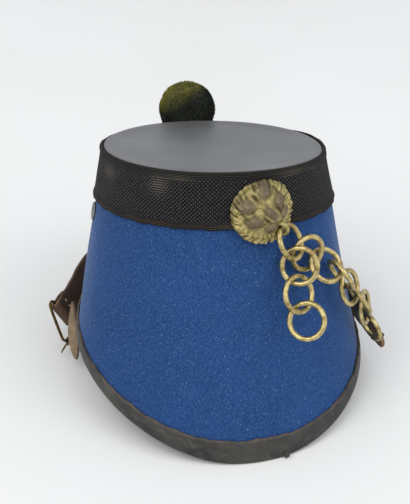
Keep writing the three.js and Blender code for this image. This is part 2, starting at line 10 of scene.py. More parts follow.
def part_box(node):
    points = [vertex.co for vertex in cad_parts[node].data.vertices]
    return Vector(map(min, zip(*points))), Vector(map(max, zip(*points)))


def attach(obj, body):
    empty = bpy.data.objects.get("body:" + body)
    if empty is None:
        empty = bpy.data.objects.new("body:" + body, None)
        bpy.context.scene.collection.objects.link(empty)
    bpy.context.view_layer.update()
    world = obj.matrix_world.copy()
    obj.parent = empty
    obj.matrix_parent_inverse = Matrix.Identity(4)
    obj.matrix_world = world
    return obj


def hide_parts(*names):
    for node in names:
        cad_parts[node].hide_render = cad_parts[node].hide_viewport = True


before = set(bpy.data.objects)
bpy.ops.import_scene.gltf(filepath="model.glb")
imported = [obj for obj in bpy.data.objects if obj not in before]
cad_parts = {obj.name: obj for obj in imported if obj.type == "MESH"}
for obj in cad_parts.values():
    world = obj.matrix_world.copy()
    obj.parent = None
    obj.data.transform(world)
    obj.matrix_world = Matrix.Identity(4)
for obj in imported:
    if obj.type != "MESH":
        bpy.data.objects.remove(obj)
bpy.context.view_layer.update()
print("frame loaded")

# Shape of the hat, in metres and degrees. The front faces -Y.
hat = dict(
    middle=(-0.00107, 0.02132),  # middle of the rim
    baseHalfWidth=0.0865,
    baseHalfLength=0.0945,
    topHalfWidth=0.0635,
    topHalfLength=0.0702,
    topHeight=0.1388,
    topForward=0.029,
    topAside=0.0021,
    topLean=12.9,
    topRoll=2.7,
    outlinePower=2.06,
    rimArch=0.015,
    frontLift=0.0159,
    restDip=0.0006,
    leftDraw=0.0058,  # how far the rim is drawn up on the wearer's left
    drawPower=1.4,
    bindingHigh=0.0136,
    bindingNarrow=0.5,
    clothWall=0.0022,
    gap=0.0003,
)
hatMiddle = np.array([hat["middle"][0], hat["middle"][1], 0.0])
gap = hat["gap"]


def outlineShares(angle):
    c, s = np.cos(angle), np.sin(angle)
    power = 2 / hat["outlinePower"]
    return np.sign(c) * np.abs(c) ** power, np.sign(s) * np.abs(s) ** power


def rimPoint(angle):
    c, s = outlineShares(angle)
    rise = hat["frontLift"] * (1 - s) / 2 + hat["rimArch"] * c * c - hat["restDip"]
    flat = [hat["baseHalfWidth"] * c, hat["baseHalfLength"] * s, np.maximum(0, rise)]
    foot = np.stack(flat, -1) + hatMiddle
    drawn = np.maximum(0, c) ** hat["drawPower"] * hat["leftDraw"] / hat["topHeight"]
    return foot + (topPoint(angle) - foot) * np.asarray(drawn)[..., None]


# Share of its height that the rim binding keeps at an angle round the hat
def bindingShare(angle):
    c = outlineShares(angle)[0]
    lost = np.where(c > 0, hat["leftDraw"] / hat["bindingHigh"], hat["bindingNarrow"])
    return 1 - lost * np.abs(c) ** hat["drawPower"]


def topPoint(angle):
    c, s = outlineShares(angle)
    lean, roll = math.radians(hat["topLean"]), math.radians(hat["topRoll"])
    x = hat["topHalfWidth"] * c - hat["topAside"]
    y = hat["topHalfLength"] * math.cos(lean) * s - hat["topForward"]
    z = hat["topHeight"] + hat["topHalfLength"] * math.sin(lean) * s
    z = z + hat["topHalfWidth"] * math.sin(roll) * c
    return np.stack([x, y, z], -1) + hatMiddle


def outward(angle):
    c, s = outlineShares(angle)
    power = hat["outlinePower"] - 1
    x = np.sign(c) * np.abs(c) ** power / hat["baseHalfWidth"]
    y = np.sign(s) * np.abs(s) ** power / hat["baseHalfLength"]
    way = np.stack([x, y, np.zeros_like(x)], -1)
    return way / np.linalg.norm(way, axis=-1, keepdims=True)


def wallLength(angle):
    return np.linalg.norm(topPoint(angle) - rimPoint(angle), axis=-1)


# Point on the wall: length up from the rim, and how far out of the cloth
def wallPoint(angle, up, out):
    angle = np.asarray(angle, float)
    share = (up / wallLength(angle))[..., None]
    spot = rimPoint(angle) * (1 - share) + topPoint(angle) * share
    return spot + outward(angle) * np.asarray(out, float)[..., None]


# Length along the cloth for one radian round the hat, at a height up the wall
def lengthPerTurn(angle, up):
    step = 0.01
    return np.linalg.norm(wallPoint(angle + step, up, 0.0) - wallPoint(angle, up, 0.0)) / step


def unit(way):
    way = np.asarray(way, float)
    return way / np.linalg.norm(way, axis=-1, keepdims=True)


def smooth(value, low, high):
    share = np.clip((value - low) / (high - low), 0, 1)
    return share * share * (3 - 2 * share)


# Ways of making a piece
def deselect():
    if bpy.context.mode != "OBJECT":
        bpy.ops.object.mode_set(mode="OBJECT")
    bpy.ops.object.select_all(action="DESELECT")


def pick(piece):
    deselect()
    piece.select_set(True)
    bpy.context.view_layer.objects.active = piece


def named(name):
    piece = bpy.context.object
    piece.name = name
    piece.data.name = name
    return piece


def smoothShade(angle):
    bpy.ops.object.mode_set(mode="OBJECT")
    bpy.ops.object.shade_smooth_by_angle(angle=math.radians(angle))


# The rows of a table that the shares 0 to 1 of a grid stand for
def rowsAt(table, shares):
    return table[np.round(shares * (len(table) - 1)).astype(int)]


# A flat grid is laid round a form: place(u, v) gives the point for shares 0 to 1
def wrapGrid(name, across, along, place, uvSize, attributes=None, angle=40):
    deselect()
    bpy.ops.mesh.primitive_grid_add(x_subdivisions=across, y_subdivisions=along, size=1)
    piece = named(name)
    mesh = piece.data
    flat = np.empty(len(mesh.vertices) * 3)
    mesh.vertices.foreach_get("co", flat)
    flat = flat.reshape(-1, 3)
    u = np.round((flat[:, 0] + 0.5) * across) / across
    v = np.round((flat[:, 1] + 0.5) * along) / along
    loops = np.empty(len(mesh.loops), int)
    mesh.loops.foreach_get("vertex_index", loops)
    uv = np.stack([u * uvSize[0], v * uvSize[1]], -1)[loops]
    mesh.uv_layers.active.data.foreach_set("uv", uv.ravel())
    for label, values in (attributes or {}).items():
        layer = mesh.attributes.new(label, "FLOAT", "POINT")
        layer.data.foreach_set("value", np.asarray(values(u, v), float))
    mesh.vertices.foreach_set("co", np.asarray(place(u, v), float).ravel())
    mesh.update()
    pick(piece)
    bpy.ops.object.mode_set(mode="EDIT")
    bpy.ops.mesh.select_all(action="SELECT")
    bpy.ops.mesh.remove_doubles(threshold=1e-6)
    bpy.ops.mesh.normals_make_consistent(inside=False)
    smoothShade(angle)
    return piece


# Faces over the open ends of the piece in hand
def closeEnds():
    bpy.ops.object.mode_set(mode="EDIT")
    bpy.ops.mesh.select_all(action="SELECT")
    bpy.ops.mesh.region_to_loop()
    bpy.ops.mesh.edge_face_add()
    bpy.ops.mesh.select_all(action="SELECT")
    bpy.ops.mesh.normals_make_consistent(inside=False)
    bpy.ops.object.mode_set(mode="OBJECT")


# A copy of a solid from the frame, its corners merged, ready to be finished
def copyNode(node, name):
    deselect()
    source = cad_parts[node]
    piece = source.copy()
    piece.data = source.data.copy()
    piece.name = name
    piece.data.name = name
    for key in list(piece.keys()):
        del piece[key]
    piece.parent = None
    piece.matrix_world = source.matrix_world
    bpy.context.scene.collection.objects.link(piece)
    pick(piece)
    bpy.ops.object.transform_apply(location=True, rotation=True, scale=True)
    bpy.ops.object.mode_set(mode="EDIT")
    bpy.ops.mesh.select_all(action="SELECT")
    bpy.ops.mesh.remove_doubles(threshold=1e-6)
    bpy.ops.object.mode_set(mode="OBJECT")
    return piece


def applyModifier(piece, kind, **settings):
    pick(piece)
    made = piece.modifiers.new(kind.title(), kind)
    for key, value in settings.items():
        setattr(made, key, value)
    bpy.ops.object.modifier_apply(modifier=made.name)


def softenEdges(piece, width, segments, limit, smoothLimit):
    limits = dict(limit_method="ANGLE", angle_limit=math.radians(limit))
    applyModifier(piece, "BEVEL", width=width, segments=segments, **limits)
    smoothShade(smoothLimit)


def join(name, pieces):
    pick(pieces[0])
    for piece in pieces[1:]:
        piece.select_set(True)
    bpy.ops.object.join()
    return named(name)


# A tube along a line of points
def tube(name, line, radius, sides=10, closedLine=False, uvLength=0.1):
    line = np.asarray(line, float)
    count = len(line)
    ahead = np.gradient(line, axis=0)
    if closedLine:
        ahead = np.roll(line, -1, 0) - np.roll(line, 1, 0)
    ahead = unit(ahead)
    askew = (0.31, 0.22, 0.93)  # a direction that no line of this hat runs along
    side = np.cross(ahead, askew)
    for i in range(count):  # carried along without a twist
        if i:
            side[i] = side[i - 1] - ahead[i] * (side[i - 1] @ ahead[i])
        side[i] = unit(side[i])
    over = np.cross(ahead, side)
    steps = count if closedLine else count - 1
    radius = np.broadcast_to(np.asarray(radius, float), (count,))

    def place(u, v):
        row = np.round(u * steps).astype(int) % count
        turn = v * 2 * math.pi
        spoke = side[row] * np.cos(turn)[:, None] + over[row] * np.sin(turn)[:, None]
        return line[row] + spoke * radius[row][:, None]

    piece = wrapGrid(name, steps, sides, place, (uvLength, radius.max() * 6), angle=60)
    if not closedLine:
        closeEnds()
    return piece


# A ring of wire round an axis
def torusAt(name, centre, axis, radius, wire, around, sides):
    deselect()
    bpy.ops.mesh.primitive_torus_add(
        location=centre, rotation=axis.to_track_quat("Z", "Y").to_euler(),
        major_radius=radius, minor_radius=wire, major_segments=around, minor_segments=sides,
    )
    return named(name)


def finishPiece(piece, material, replaced=()):
    piece.data.materials.clear()
    piece.data.materials.append(material)
    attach(piece, "root")
    if replaced:
        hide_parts(*replaced)
    return piece


# Materials
def paint(red, green, blue):
    def straight(value):
        value /= 255
        return value / 12.92 if value < 0.04045 else ((value + 0.055) / 1.055) ** 2.4

    return (straight(red), straight(green), straight(blue), 1)


def addNode(tree, kind, inputs, **settings):
    node = tree.nodes.new("ShaderNode" + kind)
    for key, value in settings.items():
        setattr(node, key, value)
    for key, value in inputs.items():
        if isinstance(value, bpy.types.NodeSocket):
            tree.links.new(value, node.inputs[key])
        else:
            node.inputs[key].default_value = value
    return node


def newMaterial(name, sockets):
    made = bpy.data.materials.new(name)
    made.use_nodes = True
    tree = made.node_tree
    shader = tree.nodes["Principled BSDF"]
    for key, value in sockets.items():
        shader.inputs[key].default_value = value
    return made, tree, shader


def coordinate(tree, kind="Object"):
    return addNode(tree, "TexCoord", {}).outputs[kind]


def noise(tree, where, scale, detail=3, rough=0.5, distortion=0):
    inputs = {"Vector": where, "Scale": scale, "Detail": detail}
    inputs.update({"Roughness": rough, "Distortion": distortion})
    return addNode(tree, "TexNoise", inputs).outputs["Fac"]


def ramp(tree, value, stops):
    node = addNode(tree, "ValToRGB", {"Fac": value})
    band = node.color_ramp
    while len(band.elements) < len(stops):
        band.elements.new(0.5)
    for element, (place, shade) in zip(band.elements, stops):
        element.position = place
        element.color = shade if hasattr(shade, "__len__") else (shade, shade, shade, 1)
    return node.outputs["Color"]


def mix(tree, share, first, second):
    node = addNode(tree, "Mix", {0: share, 6: first, 7: second}, data_type="RGBA")
    return node.outputs[2]


def maths(tree, operation, first, second):
    node = addNode(tree, "Math", {0: first, 1: second}, operation=operation)
    return node.outputs[0]


def bump(tree, shader, height, strength, distance, below=None):
    inputs = {"Height": height, "Strength": strength, "Distance": distance}
    if below is not None:
        inputs["Normal"] = below
    node = addNode(tree, "Bump", inputs)
    tree.links.new(node.outputs["Normal"], shader.inputs["Normal"])
    return node.outputs["Normal"]


def setColor(tree, shader, color):
    tree.links.new(color, shader.inputs["Base Color"])


def setRough(tree, shader, value, low, high):
    node = addNode(tree, "MapRange", {"Value": value, "To Min": low, "To Max": high})
    tree.links.new(node.outputs["Result"], shader.inputs["Roughness"])


def attribute(tree, name):
    return addNode(tree, "Attribute", {}, attribute_name=name).outputs["Fac"]


def makeCloth():
    look = dict(deep=paint(14, 44, 92), mid=paint(22, 57, 108), pale=paint(62, 100, 152))
    made, tree, shader = newMaterial(
        "blueWool",
        {"Roughness": 0.95, "Sheen Weight": 0.5, "Sheen Roughness": 0.24,
         "Sheen Tint": (0.62, 0.76, 1, 1), "Specular IOR Level": 0.15},
    )
    where = coordinate(tree)
    patches = noise(tree, where, 28, 5, 0.6)
    slanted = addNode(tree, "Mapping", {
        "Vector": where, "Rotation": (0.5, 0.3, 0.6), "Scale": (1, 1, 0.35),
    }).outputs["Vector"]
    nap = noise(tree, slanted, 1400, 5, 0.75)
    lint = noise(tree, where, 1500, 2, 0.5)
    color = mix(tree, ramp(tree, patches, [(0.3, 0), (0.7, 1)]), look["deep"], look["mid"])
    color = mix(tree, ramp(tree, nap, [(0.35, 0), (0.75, 0.8)]), color, look["pale"])
    color = mix(tree, ramp(tree, lint, [(0.66, 0), (0.74, 0.7)]), color, paint(150, 172, 200))
    setColor(tree, shader, color)
    bump(tree, shader, nap, 0.45, 0.0005)
    return made


def makeTopLeather():
    made, tree, shader = newMaterial("topLeather", {"Specular IOR Level": 0.6})
    where = coordinate(tree)
    clouds = noise(tree, where, 22, 6, 0.6)
    grain = addNode(tree, "TexVoronoi", {"Vector": where, "Scale": 900}).outputs["Distance"]
    specks = noise(tree, where, 420, 2, 0.5)
    broad = noise(tree, where, 9, 3, 0.5, 0.6)
    color = ramp(tree, clouds, [(0.3, paint(84, 85, 85)), (0.7, paint(106, 107, 108))])
    color = mix(tree, ramp(tree, broad, [(0.35, 0.4), (0.6, 0)]), color, paint(58, 58, 60))
    color = mix(tree, ramp(tree, specks, [(0.7, 0), (0.76, 0.6)]), color, paint(120, 118, 112))
    setColor(tree, shader, color)
    setRough(tree, shader, clouds, 0.34, 0.5)
    first = bump(tree, shader, grain, 0.12, 0.0002)
    bump(tree, shader, clouds, 0.25, 0.0012, first)
    return made


def makeBand():
    look = dict(pitch=0.0018, cord=0.0018)
    look.update(dark=paint(12, 12, 14), mid=paint(74, 72, 73), thread=paint(112, 106, 96))
    made, tree, shader = newMaterial(
        "bandWeave", {"Roughness": 0.85, "Sheen Weight": 0.02, "Specular IOR Level": 0.12}
    )
    where = coordinate(tree, "UV")
    heights = []
    for turn in (38, -38):
        laid = addNode(tree, "Mapping", {"Vector": where, "Rotation": (0, 0, math.radians(turn))})
        inputs = {"Vector": laid.outputs["Vector"], "Scale": 0.314 / look["pitch"]}
        inputs.update({"Distortion": 1.6, "Detail": 3, "Detail Scale": 2.5})
        heights.append(addNode(tree, "TexWave", inputs).outputs["Fac"])
    weave = maths(tree, "MINIMUM", heights[0], heights[1])
    fleck = noise(tree, where, 700, 3, 0.6)
    worn = noise(tree, where, 45, 4, 0.6)
    color = ramp(tree, weave, [(0.25, look["dark"]), (0.75, look["mid"])])
    color = mix(tree, ramp(tree, fleck, [(0.6, 0), (0.75, 0.55)]), color, look["thread"])
    color = mix(tree, ramp(tree, worn, [(0.68, 0), (0.85, 0.2)]), color, look["thread"])
    # the thick edges: threads that run along the band, a few of them worn brown
    inputs = {"Vector": where, "Scale": 0.314 / look["cord"], "Distortion": 0.08, "Detail": 1}
    runs = addNode(tree, "TexWave", inputs, bands_direction="Y").outputs["Fac"]
    edge = attribute(tree, "edge")
    cords = ramp(tree, runs, [(0.4, paint(2, 2, 3)), (0.9, paint(66, 63, 60))])
    color = mix(tree, edge, color, cords)
    rust = maths(tree, "MULTIPLY", attribute(tree, "rust"), ramp(tree, runs, [(0.5, 0), (0.8, 0.9)]))
    color = mix(tree, rust, color, paint(112, 84, 60))
    fray = maths(tree, "MULTIPLY", attribute(tree, "fray"), ramp(tree, runs, [(0.6, 0), (0.85, 0.75)]))
    color = mix(tree, fray, color, paint(128, 120, 104))
    setColor(tree, shader, color)
    height = mix(tree, edge, weave, runs)
    bump(tree, shader, height, 0.9, 0.0006)
    return made


def makeBinding():
    made, tree, shader = newMaterial("rimLeather", {"Specular IOR Level": 0.5})
    where = coordinate(tree)
    clouds = noise(tree, where, 35, 6, 0.65)
    grain = addNode(tree, "TexVoronoi", {"Vector": where, "Scale": 700}).outputs["Distance"]
    cracks = addNode(
        tree, "TexVoronoi", {"Vector": where, "Scale": 120}, feature="DISTANCE_TO_EDGE"
    ).outputs["Distance"]
    wear = attribute(tree, "wear")
    ragged = noise(tree, where, 160, 5, 0.7)
    share = maths(tree, "MULTIPLY", wear, ramp(tree, ragged, [(0.42, 0.05), (0.62, 0.8)]))
    color = ramp(tree, clouds, [(0.3, paint(14, 14, 14)), (0.75, paint(38, 37, 36))])
    color = mix(tree, ramp(tree, cracks, [(0.0, 0.35), (0.02, 0)]), color, paint(12, 11, 11))
    dust = noise(tree, where, 14, 4, 0.6)
    streaks = noise(tree, coordinate(tree, "UV"), 120, 4, 0.6, 0.8)
    color = mix(tree, ramp(tree, dust, [(0.46, 0), (0.75, 0.55)]), color, paint(104, 101, 92))
    color = mix(tree, ramp(tree, streaks, [(0.52, 0), (0.7, 0.35)]), color, paint(96, 90, 80))
    color = mix(tree, share, color, paint(112, 84, 58))
    setColor(tree, shader, color)
    setRough(tree, shader, clouds, 0.38, 0.62)
    first = bump(tree, shader, grain, 0.2, 0.0003)
    bump(tree, shader, ragged, 0.3, 0.0008, first)
    return made


def makePeakLeather():
    made, tree, shader = newMaterial("peakLeather", {"Coat Weight": 0.25, "Coat Roughness": 0.2})
    where = coordinate(tree)
    clouds = noise(tree, where, 40, 6, 0.6)
    cracks = noise(tree, where, 260, 5, 0.7, 1.2)
    color = ramp(tree, clouds, [(0.3, paint(18, 17, 17)), (0.75, paint(40, 37, 36))])
    color = mix(tree, ramp(tree, cracks, [(0.62, 0), (0.72, 0.5)]), color, paint(84, 66, 50))
    setColor(tree, shader, color)
    setRough(tree, shader, clouds, 0.25, 0.5)
    bump(tree, shader, cracks, 0.2, 0.0005)
    return made


def makeStrapLeather():
    made, tree, shader = newMaterial("strapLeather", {"Specular IOR Level": 0.35})
    where = coordinate(tree)
    clouds = noise(tree, where, 45, 6, 0.65)
    grain = noise(tree, where, 1100, 3, 0.6)
    wear = attribute(tree, "wear")
    color = ramp(tree, clouds, [(0.3, paint(32, 25, 20)), (0.7, paint(60, 46, 36))])
    color = mix(tree, wear, color, paint(140, 104, 78))
    color = mix(tree, ramp(tree, grain, [(0.6, 0), (0.75, 0.4)]), color, paint(40, 27, 22))
    setColor(tree, shader, color)
    setRough(tree, shader, clouds, 0.55, 0.8)
    bump(tree, shader, grain, 0.4, 0.0004)
    return made


def makeSuede():
    made, tree, shader = newMaterial("tabSuede", {"Roughness": 0.95, "Sheen Weight": 0.3})
    where = coordinate(tree)
    clouds = noise(tree, where, 120, 5, 0.65)
    nap = noise(tree, where, 1300, 3, 0.6)
    color = ramp(tree, clouds, [(0.3, paint(104, 84, 60)), (0.7, paint(156, 134, 104))])
    color = mix(tree, ramp(tree, nap, [(0.5, 0), (0.7, 0.5)]), color, paint(58, 42, 32))
    setColor(tree, shader, color)
    bump(tree, shader, nap, 0.6, 0.0005)
    return made


def makeBrass(name, bright, dull, dark, low, high, relief=False):
    made, tree, shader = newMaterial(name, {"Metallic": 0.7 if relief else 0.9})
    where = coordinate(tree)
    clouds = noise(tree, where, 260, 5, 0.6)
    marks = noise(tree, where, 1200, 3, 0.6)
    color = ramp(tree, clouds, [(0.34, dull), (0.6, bright)])
    if relief:
        # painted shade: the attribute deep darkens the grooves and the edges of the lobes
        color = mix(tree, attribute(tree, "deep"), color, dark)
        bare = ramp(tree, marks, [(0.3, paint(92, 80, 64)), (0.7, paint(124, 110, 88))])
        color = mix(tree, attribute(tree, "bare"), color, bare)
    else:
        color = mix(tree, ramp(tree, marks, [(0.62, 0), (0.72, 0.6)]), color, dark)
    setColor(tree, shader, color)
    setRough(tree, shader, clouds, low, high)
    bump(tree, shader, marks, 0.15, 0.0003)
    return made


def makeSteel():
    made, tree, shader = newMaterial("dullSteel", {"Metallic": 0.85})
    where = coordinate(tree)
    clouds = noise(tree, where, 300, 5, 0.6)
    setColor(tree, shader, ramp(tree, clouds, [(0.3, paint(92, 90, 86)), (0.7, paint(150, 150, 148))]))
    setRough(tree, shader, clouds, 0.35, 0.6)
    bump(tree, shader, clouds, 0.15, 0.0003)
    return made


def makeWool():
    made, tree, shader = newMaterial(
        "greenWool", {"Roughness": 1, "Sheen Weight": 0.25, "Specular IOR Level": 0.1}
    )
    where = coordinate(tree)
    clouds = noise(tree, where, 130, 4, 0.6)
    # Painted light: the side of the pompom that faces the light is mixed towards pale olive, the shaded side
    # stays dark green
    paintedLight = attribute(tree, "paintedLight")
    strand = attribute(tree, "strand")
    green = ramp(tree, clouds, [(0.3, paint(10, 15, 9)), (0.7, paint(30, 38, 18))])
    litOlive = ramp(tree, clouds, [(0.3, paint(84, 86, 28)), (0.7, paint(142, 136, 54))])
    color = mix(tree, paintedLight, green, litOlive)
    color = mix(tree, maths(tree, "MULTIPLY", strand, 0.45), color, paint(16, 20, 14))
    setColor(tree, shader, color)
    return made


def makeThread(name, low, high):
    made, tree, shader = newMaterial(name, {"Roughness": 0.85, "Sheen Weight": 0.2})
    where = coordinate(tree)
    twist = noise(tree, where, 1800, 2, 0.5)
    setColor(tree, shader, ramp(tree, twist, [(0.3, low), (0.7, high)]))
    bump(tree, shader, twist, 0.4, 0.0002)
    return made


def makeFloor():
    made, tree, shader = newMaterial("paleFloor", {"Roughness": 0.9, "Specular IOR Level": 0.1})
    where = coordinate(tree)
    patches = noise(tree, where, 3, 2)
    setColor(tree, shader, ramp(tree, patches, [(0.3, paint(232, 232, 229)), (0.7, paint(236, 236, 234))]))
    return made


clothMaterial = makeCloth()
topMaterial = makeTopLeather()
bandMaterial = makeBand()
bindingMaterial = makeBinding()
peakMaterial = makePeakLeather()
strapMaterial = makeStrapLeather()
suedeMaterial = makeSuede()
ringMaterial = makeBrass(
    "ringBrass", paint(206, 188, 132), paint(134, 116, 70), paint(62, 50, 28), 0.22, 0.42
)
# the dark colour of the boss is its painted shade in the grooves and round the lobes
bossMaterial = makeBrass(
    "bossBrass", paint(182, 168, 112), paint(132, 118, 70), paint(34, 28, 14), 0.38, 0.6, True
)
buckleMaterial = makeBrass(
    "buckleBrass", paint(120, 96, 56), paint(74, 58, 34), paint(34, 27, 16), 0.35, 0.6
)
steelMaterial = makeSteel()
woolMaterial = makeWool()
paleThread = makeThread("paleThread", paint(150, 140, 118), paint(206, 198, 178))
darkThread = makeThread("darkThread", paint(30, 27, 26), paint(70, 62, 56))
lintThread = makeThread("lintThread", paint(96, 124, 158), paint(140, 164, 190))
print("materials made")

# crown cloth
crown = dict(foot=0.0015, head=0.0035, slack=0.00035, columns=240, rows=48)


def crownPlace(u, v):
    angle = u * 2 * math.pi
    length = wallLength(angle)
    loop = np.where(v <= 0.5, v * 2, 2 - v * 2)  # up the outside, down the inside
    up = crown["foot"] + loop * (length - crown["head"] - crown["foot"])
    hang = np.sin(math.pi * np.clip(loop, 0, 1)) ** 0.5
    wave = np.sin(3 * angle + 1 + 4 * loop) + 0.6 * np.sin(7 * angle - 5 * loop)
    wave = wave + 0.4 * np.sin(13 * angle + 9 * loop + 2)
    slack = crown["slack"] * wave * hang
    step = 1 / (2 * crown["rows"])
    inside = (v > 0.5 + step / 2) | (v < step / 2)
    out = np.where(inside, -hat["clothWall"], 0.0)
    return wallPoint(angle, up, out + slack)


crownPiece = wrapGrid(
    "crown_cloth", crown["columns"], 2 * crown["rows"] + 2,
    crownPlace, (0.57, 0.3),
)
finishPiece(crownPiece, clothMaterial, ["crown"])
print("crown made")

# crown top
crownTop = dict(sink=0.0008, lip=0.006, thick=0.0026, columns=192)
topCentre = np.array([-hat["topAside"], -hat["topForward"], hat["topHeight"]]) + hatMiddle
leanTurn, rollTurn = math.radians(hat["topLean"]), math.radians(hat["topRoll"])
topNormal = unit([-math.sin(rollTurn), -math.sin(leanTurn), math.cos(leanTurn)])
lipShare = crownTop["lip"] / hat["topHalfWidth"]
# columns: share of the way out, depth below the edge, 1 where it follows the wall
topRows = [(0.0, crownTop["sink"], 0)]
topRows += [(share, crownTop["sink"], 0) for share in np.linspace(0.08, 1 - 1.7 * lipShare, 22)]
for share in np.linspace(1 - 1.5 * lipShare, 1 - 0.35 * lipShare, 7):
    rise = smooth(share, 1 - 1.7 * lipShare, 1 - 0.2 * lipShare)
    topRows.append((share, crownTop["sink"] * (1 - rise), 0))
topRows += [(1 - 0.012, 0.00004, 0), (0.0002, 0.0003, 1), (0.0, 0.0009, 1), (0.0, 0.0025, 1)]
topRows += [(0.97, crownTop["thick"], 0), (0.5, crownTop["thick"], 0), (0.0, crownTop["thick"], 0)]
topTable = np.array(topRows)


def crownTopPlace(u, v):
    angle = u * 2 * math.pi
    share, depth, wall = rowsAt(topTable, v).T
    soft = 0.0002 * np.sin(5 * share * np.cos(angle + 0.4) + 1) * np.cos(6 * share * np.sin(angle))
    depth = depth + np.where((wall == 0) & (depth < 0.0024), soft * smooth(1 - share, 0, 0.2), 0)
    edge = topPoint(angle)
    flat = topCentre * (1 - share)[:, None] + edge * share[:, None] - topNormal * depth[:, None]
    side = wallPoint(angle, wallLength(angle) - depth, -np.where(wall == 1, share, 0))
    return np.where(wall[:, None] == 1, side, flat)


topPiece = wrapGrid(
    "crown_top_leather", crownTop["columns"], len(topTable) - 1, crownTopPlace, (0.4, 0.1),
)
finishPiece(topPiece, topMaterial, ["crown_top"])

# woven band
band = dict(
    columns=240, ragged=0.00018, pucker=0.00012, frontDrop=0.0017, rustDown=0.0284, rustSpread=0.0006,
)
# columns: distance below the top edge of the wall, out of the cloth, 1 on the thick edges
bandTable = [(0.0, gap, 1), (-0.0004, 0.0006, 1), (-0.0004, 0.0015, 1), (-0.0001, 0.0021, 1)]
bandTable += [(0.0005, 0.0023, 1), (0.0015, 0.0023, 1), (0.0025, 0.0022, 1), (0.0031, 0.0018, 0.6)]
bandTable += [(down, 0.0017, 0) for down in np.linspace(0.0037, 0.0267, 16)]
bandTable += [(0.0273, 0.0018, 0.6), (0.0279, 0.0022, 1), (0.0289, 0.0023, 1), (0.0299, 0.0022, 1)]
bandTable += [(0.0303, 0.0018, 1), (0.0304, 0.0012, 1), (0.0303, gap, 1), (0.015, gap, 0)]
bandTable.append(bandTable[0])
bandTable = np.array(bandTable)


def bandRust(u, v):
    down = rowsAt(bandTable, v)[:, 0]
    patch = 0.42 + 0.3 * np.sin(2 * math.pi * u * 9 + 1) + 0.2 * np.sin(2 * math.pi * u * 23)
    return np.clip(patch, 0, 1) * np.exp(-((down - band["rustDown"]) / band["rustSpread"]) ** 2)


# columns: degrees round the hat, distance down, spread in degrees and in distance, strength
frayTable = [
    (14.5, 0.0085, 6, 0.0035, 0.8), (49.5, 0.008, 4.5, 0.005, 0.9), (115.5, 0.0022, 9, 0.0016, 1),
    (60, 0.003, 7, 0.0014, 0.7), (88, 0.0285, 7, 0.0016, 0.9), (131, 0.003, 6, 0.001, 0.5),
]


def bandFray(u, v):
    down = rowsAt(bandTable, v)[:, 0]
    total = 0
    for degrees, low, wide, tall, strength in frayTable:
        away = ((u * 360 - degrees) / wide) ** 2 + ((down - low) / tall) ** 2
        total = total + strength * np.exp(-away)
    return np.clip(total, 0, 1)


def bandPlace(u, v):
    angle = u * 2 * math.pi
    down, out, edge = rowsAt(bandTable, v).T
    low = smooth(down, 0.02, 0.03)
    ragged = np.sin(23 * angle) + np.sin(41 * angle + 1) + 0.7 * np.sin(97 * angle)
    ragged = ragged * band["ragged"]
    pucker = np.sin(17 * angle + 90 * down) + np.sin(29 * angle - 200 * down)
    pucker = (pucker + 0.5 * np.sin(130 * angle)) * band["pucker"]
    out = out + np.where(out > 0.001, np.maximum(pucker, -0.0002), 0)
    # at the front the upper edge sits a little under the rounded top leather
    drop = band["frontDrop"] * smooth(-np.sin(angle), 0.1, 0.6) * (1 - smooth(down, 0.001, 0.009))
    return wallPoint(angle, wallLength(angle) - down - drop + ragged * low, out)


bandPiece = wrapGrid(
    "woven_band", band["columns"], len(bandTable) - 1, bandPlace, (0.43, 0.067),
    {"edge": lambda u, v: rowsAt(bandTable, v)[:, 2], "rust": bandRust, "fray": bandFray},
)
finishPiece(bandPiece, bandMaterial, ["top_band"])
print("top and band made")

# rim binding
binding = dict(columns=288, lip=0.0016, loss=1.133, ragged=0.00022, crease=0.00014)
# columns: up from the rim, out of the cloth, wear of the edge
bindingTable = [(0.0134, gap, 0.6), (0.0138, 0.0007, 0.9), (0.0136, 0.0012, 0.8)]
bindingTable.append((0.0132, 0.0015, 0.35))
bindingTable += [(0.0126, 0.0016, 0.05), (0.011, 0.0015, 0)]
bindingTable += [(up, 0.0015, 0) for up in np.linspace(0.0098, 0.002, 9)]
bindingTable += [(0.0012, 0.0014, 0.1), (0.0005, 0.0012, 0.3), (0.0, 0.0007, 0.45), (0.0, 0.0, 0.3)]
bindingTable += [(0.0, -0.0025, 0.2), (0.0002, -0.0033, 0.3), (0.0008, -0.0037, 0.2)]
bindingTable += [(up, -0.0037, 0) for up in np.linspace(0.002, 0.0112, 6)]
bindingTable += [(0.0118, -0.0035, 0.8), (0.012, -0.0031, 1), (0.0118, -0.0026, 0.8)]
bindingTable += [(0.0016, -0.0025, 0), (0.0012, -0.0024, 0), (0.0012, gap, 0), (0.0016, gap, 0)]
bindingTable.append(bindingTable[0])
bindingTable = np.array(bindingTable)


def bindingPlace(u, v):
    angle = u * 2 * math.pi
    up, out, wear = rowsAt(bindingTable, v).T
    # the folded lip keeps its size, so the part above it loses a little more
    lip = binding["lip"]
    kept = 1 - binding["loss"] * (1 - bindingShare(angle))
    up = np.where(up > lip, lip + (up - lip) * kept, up)
    high = smooth(rowsAt(bindingTable, v)[:, 0], 0.0095, 0.0134)
    ragged = np.sin(19 * angle + 1) + np.sin(37 * angle) + 0.8 * np.sin(71 * angle + 2)
    ragged = ragged + 0.6 * np.sin(149 * angle + 0.4)
    crease = np.sin(47 * angle + 260 * up) + 0.7 * np.sin(83 * angle - 330 * up + 1)
    crease = binding["crease"] * (crease + 1) * smooth(up, 0.001, 0.004)
    out = out + np.where(out > 0.0011, crease, 0)
    return wallPoint(angle, up + binding["ragged"] * ragged * high, out)


def bindingWear(u, v):
    angle = u * 2 * math.pi
    wear = rowsAt(bindingTable, v)[:, 2]
    patch = np.sin(11 * angle + 2) + np.sin(29 * angle) + 0.7 * np.sin(61 * angle + 1)
    return np.clip(wear * (0.75 + 0.3 * patch), 0, 1)


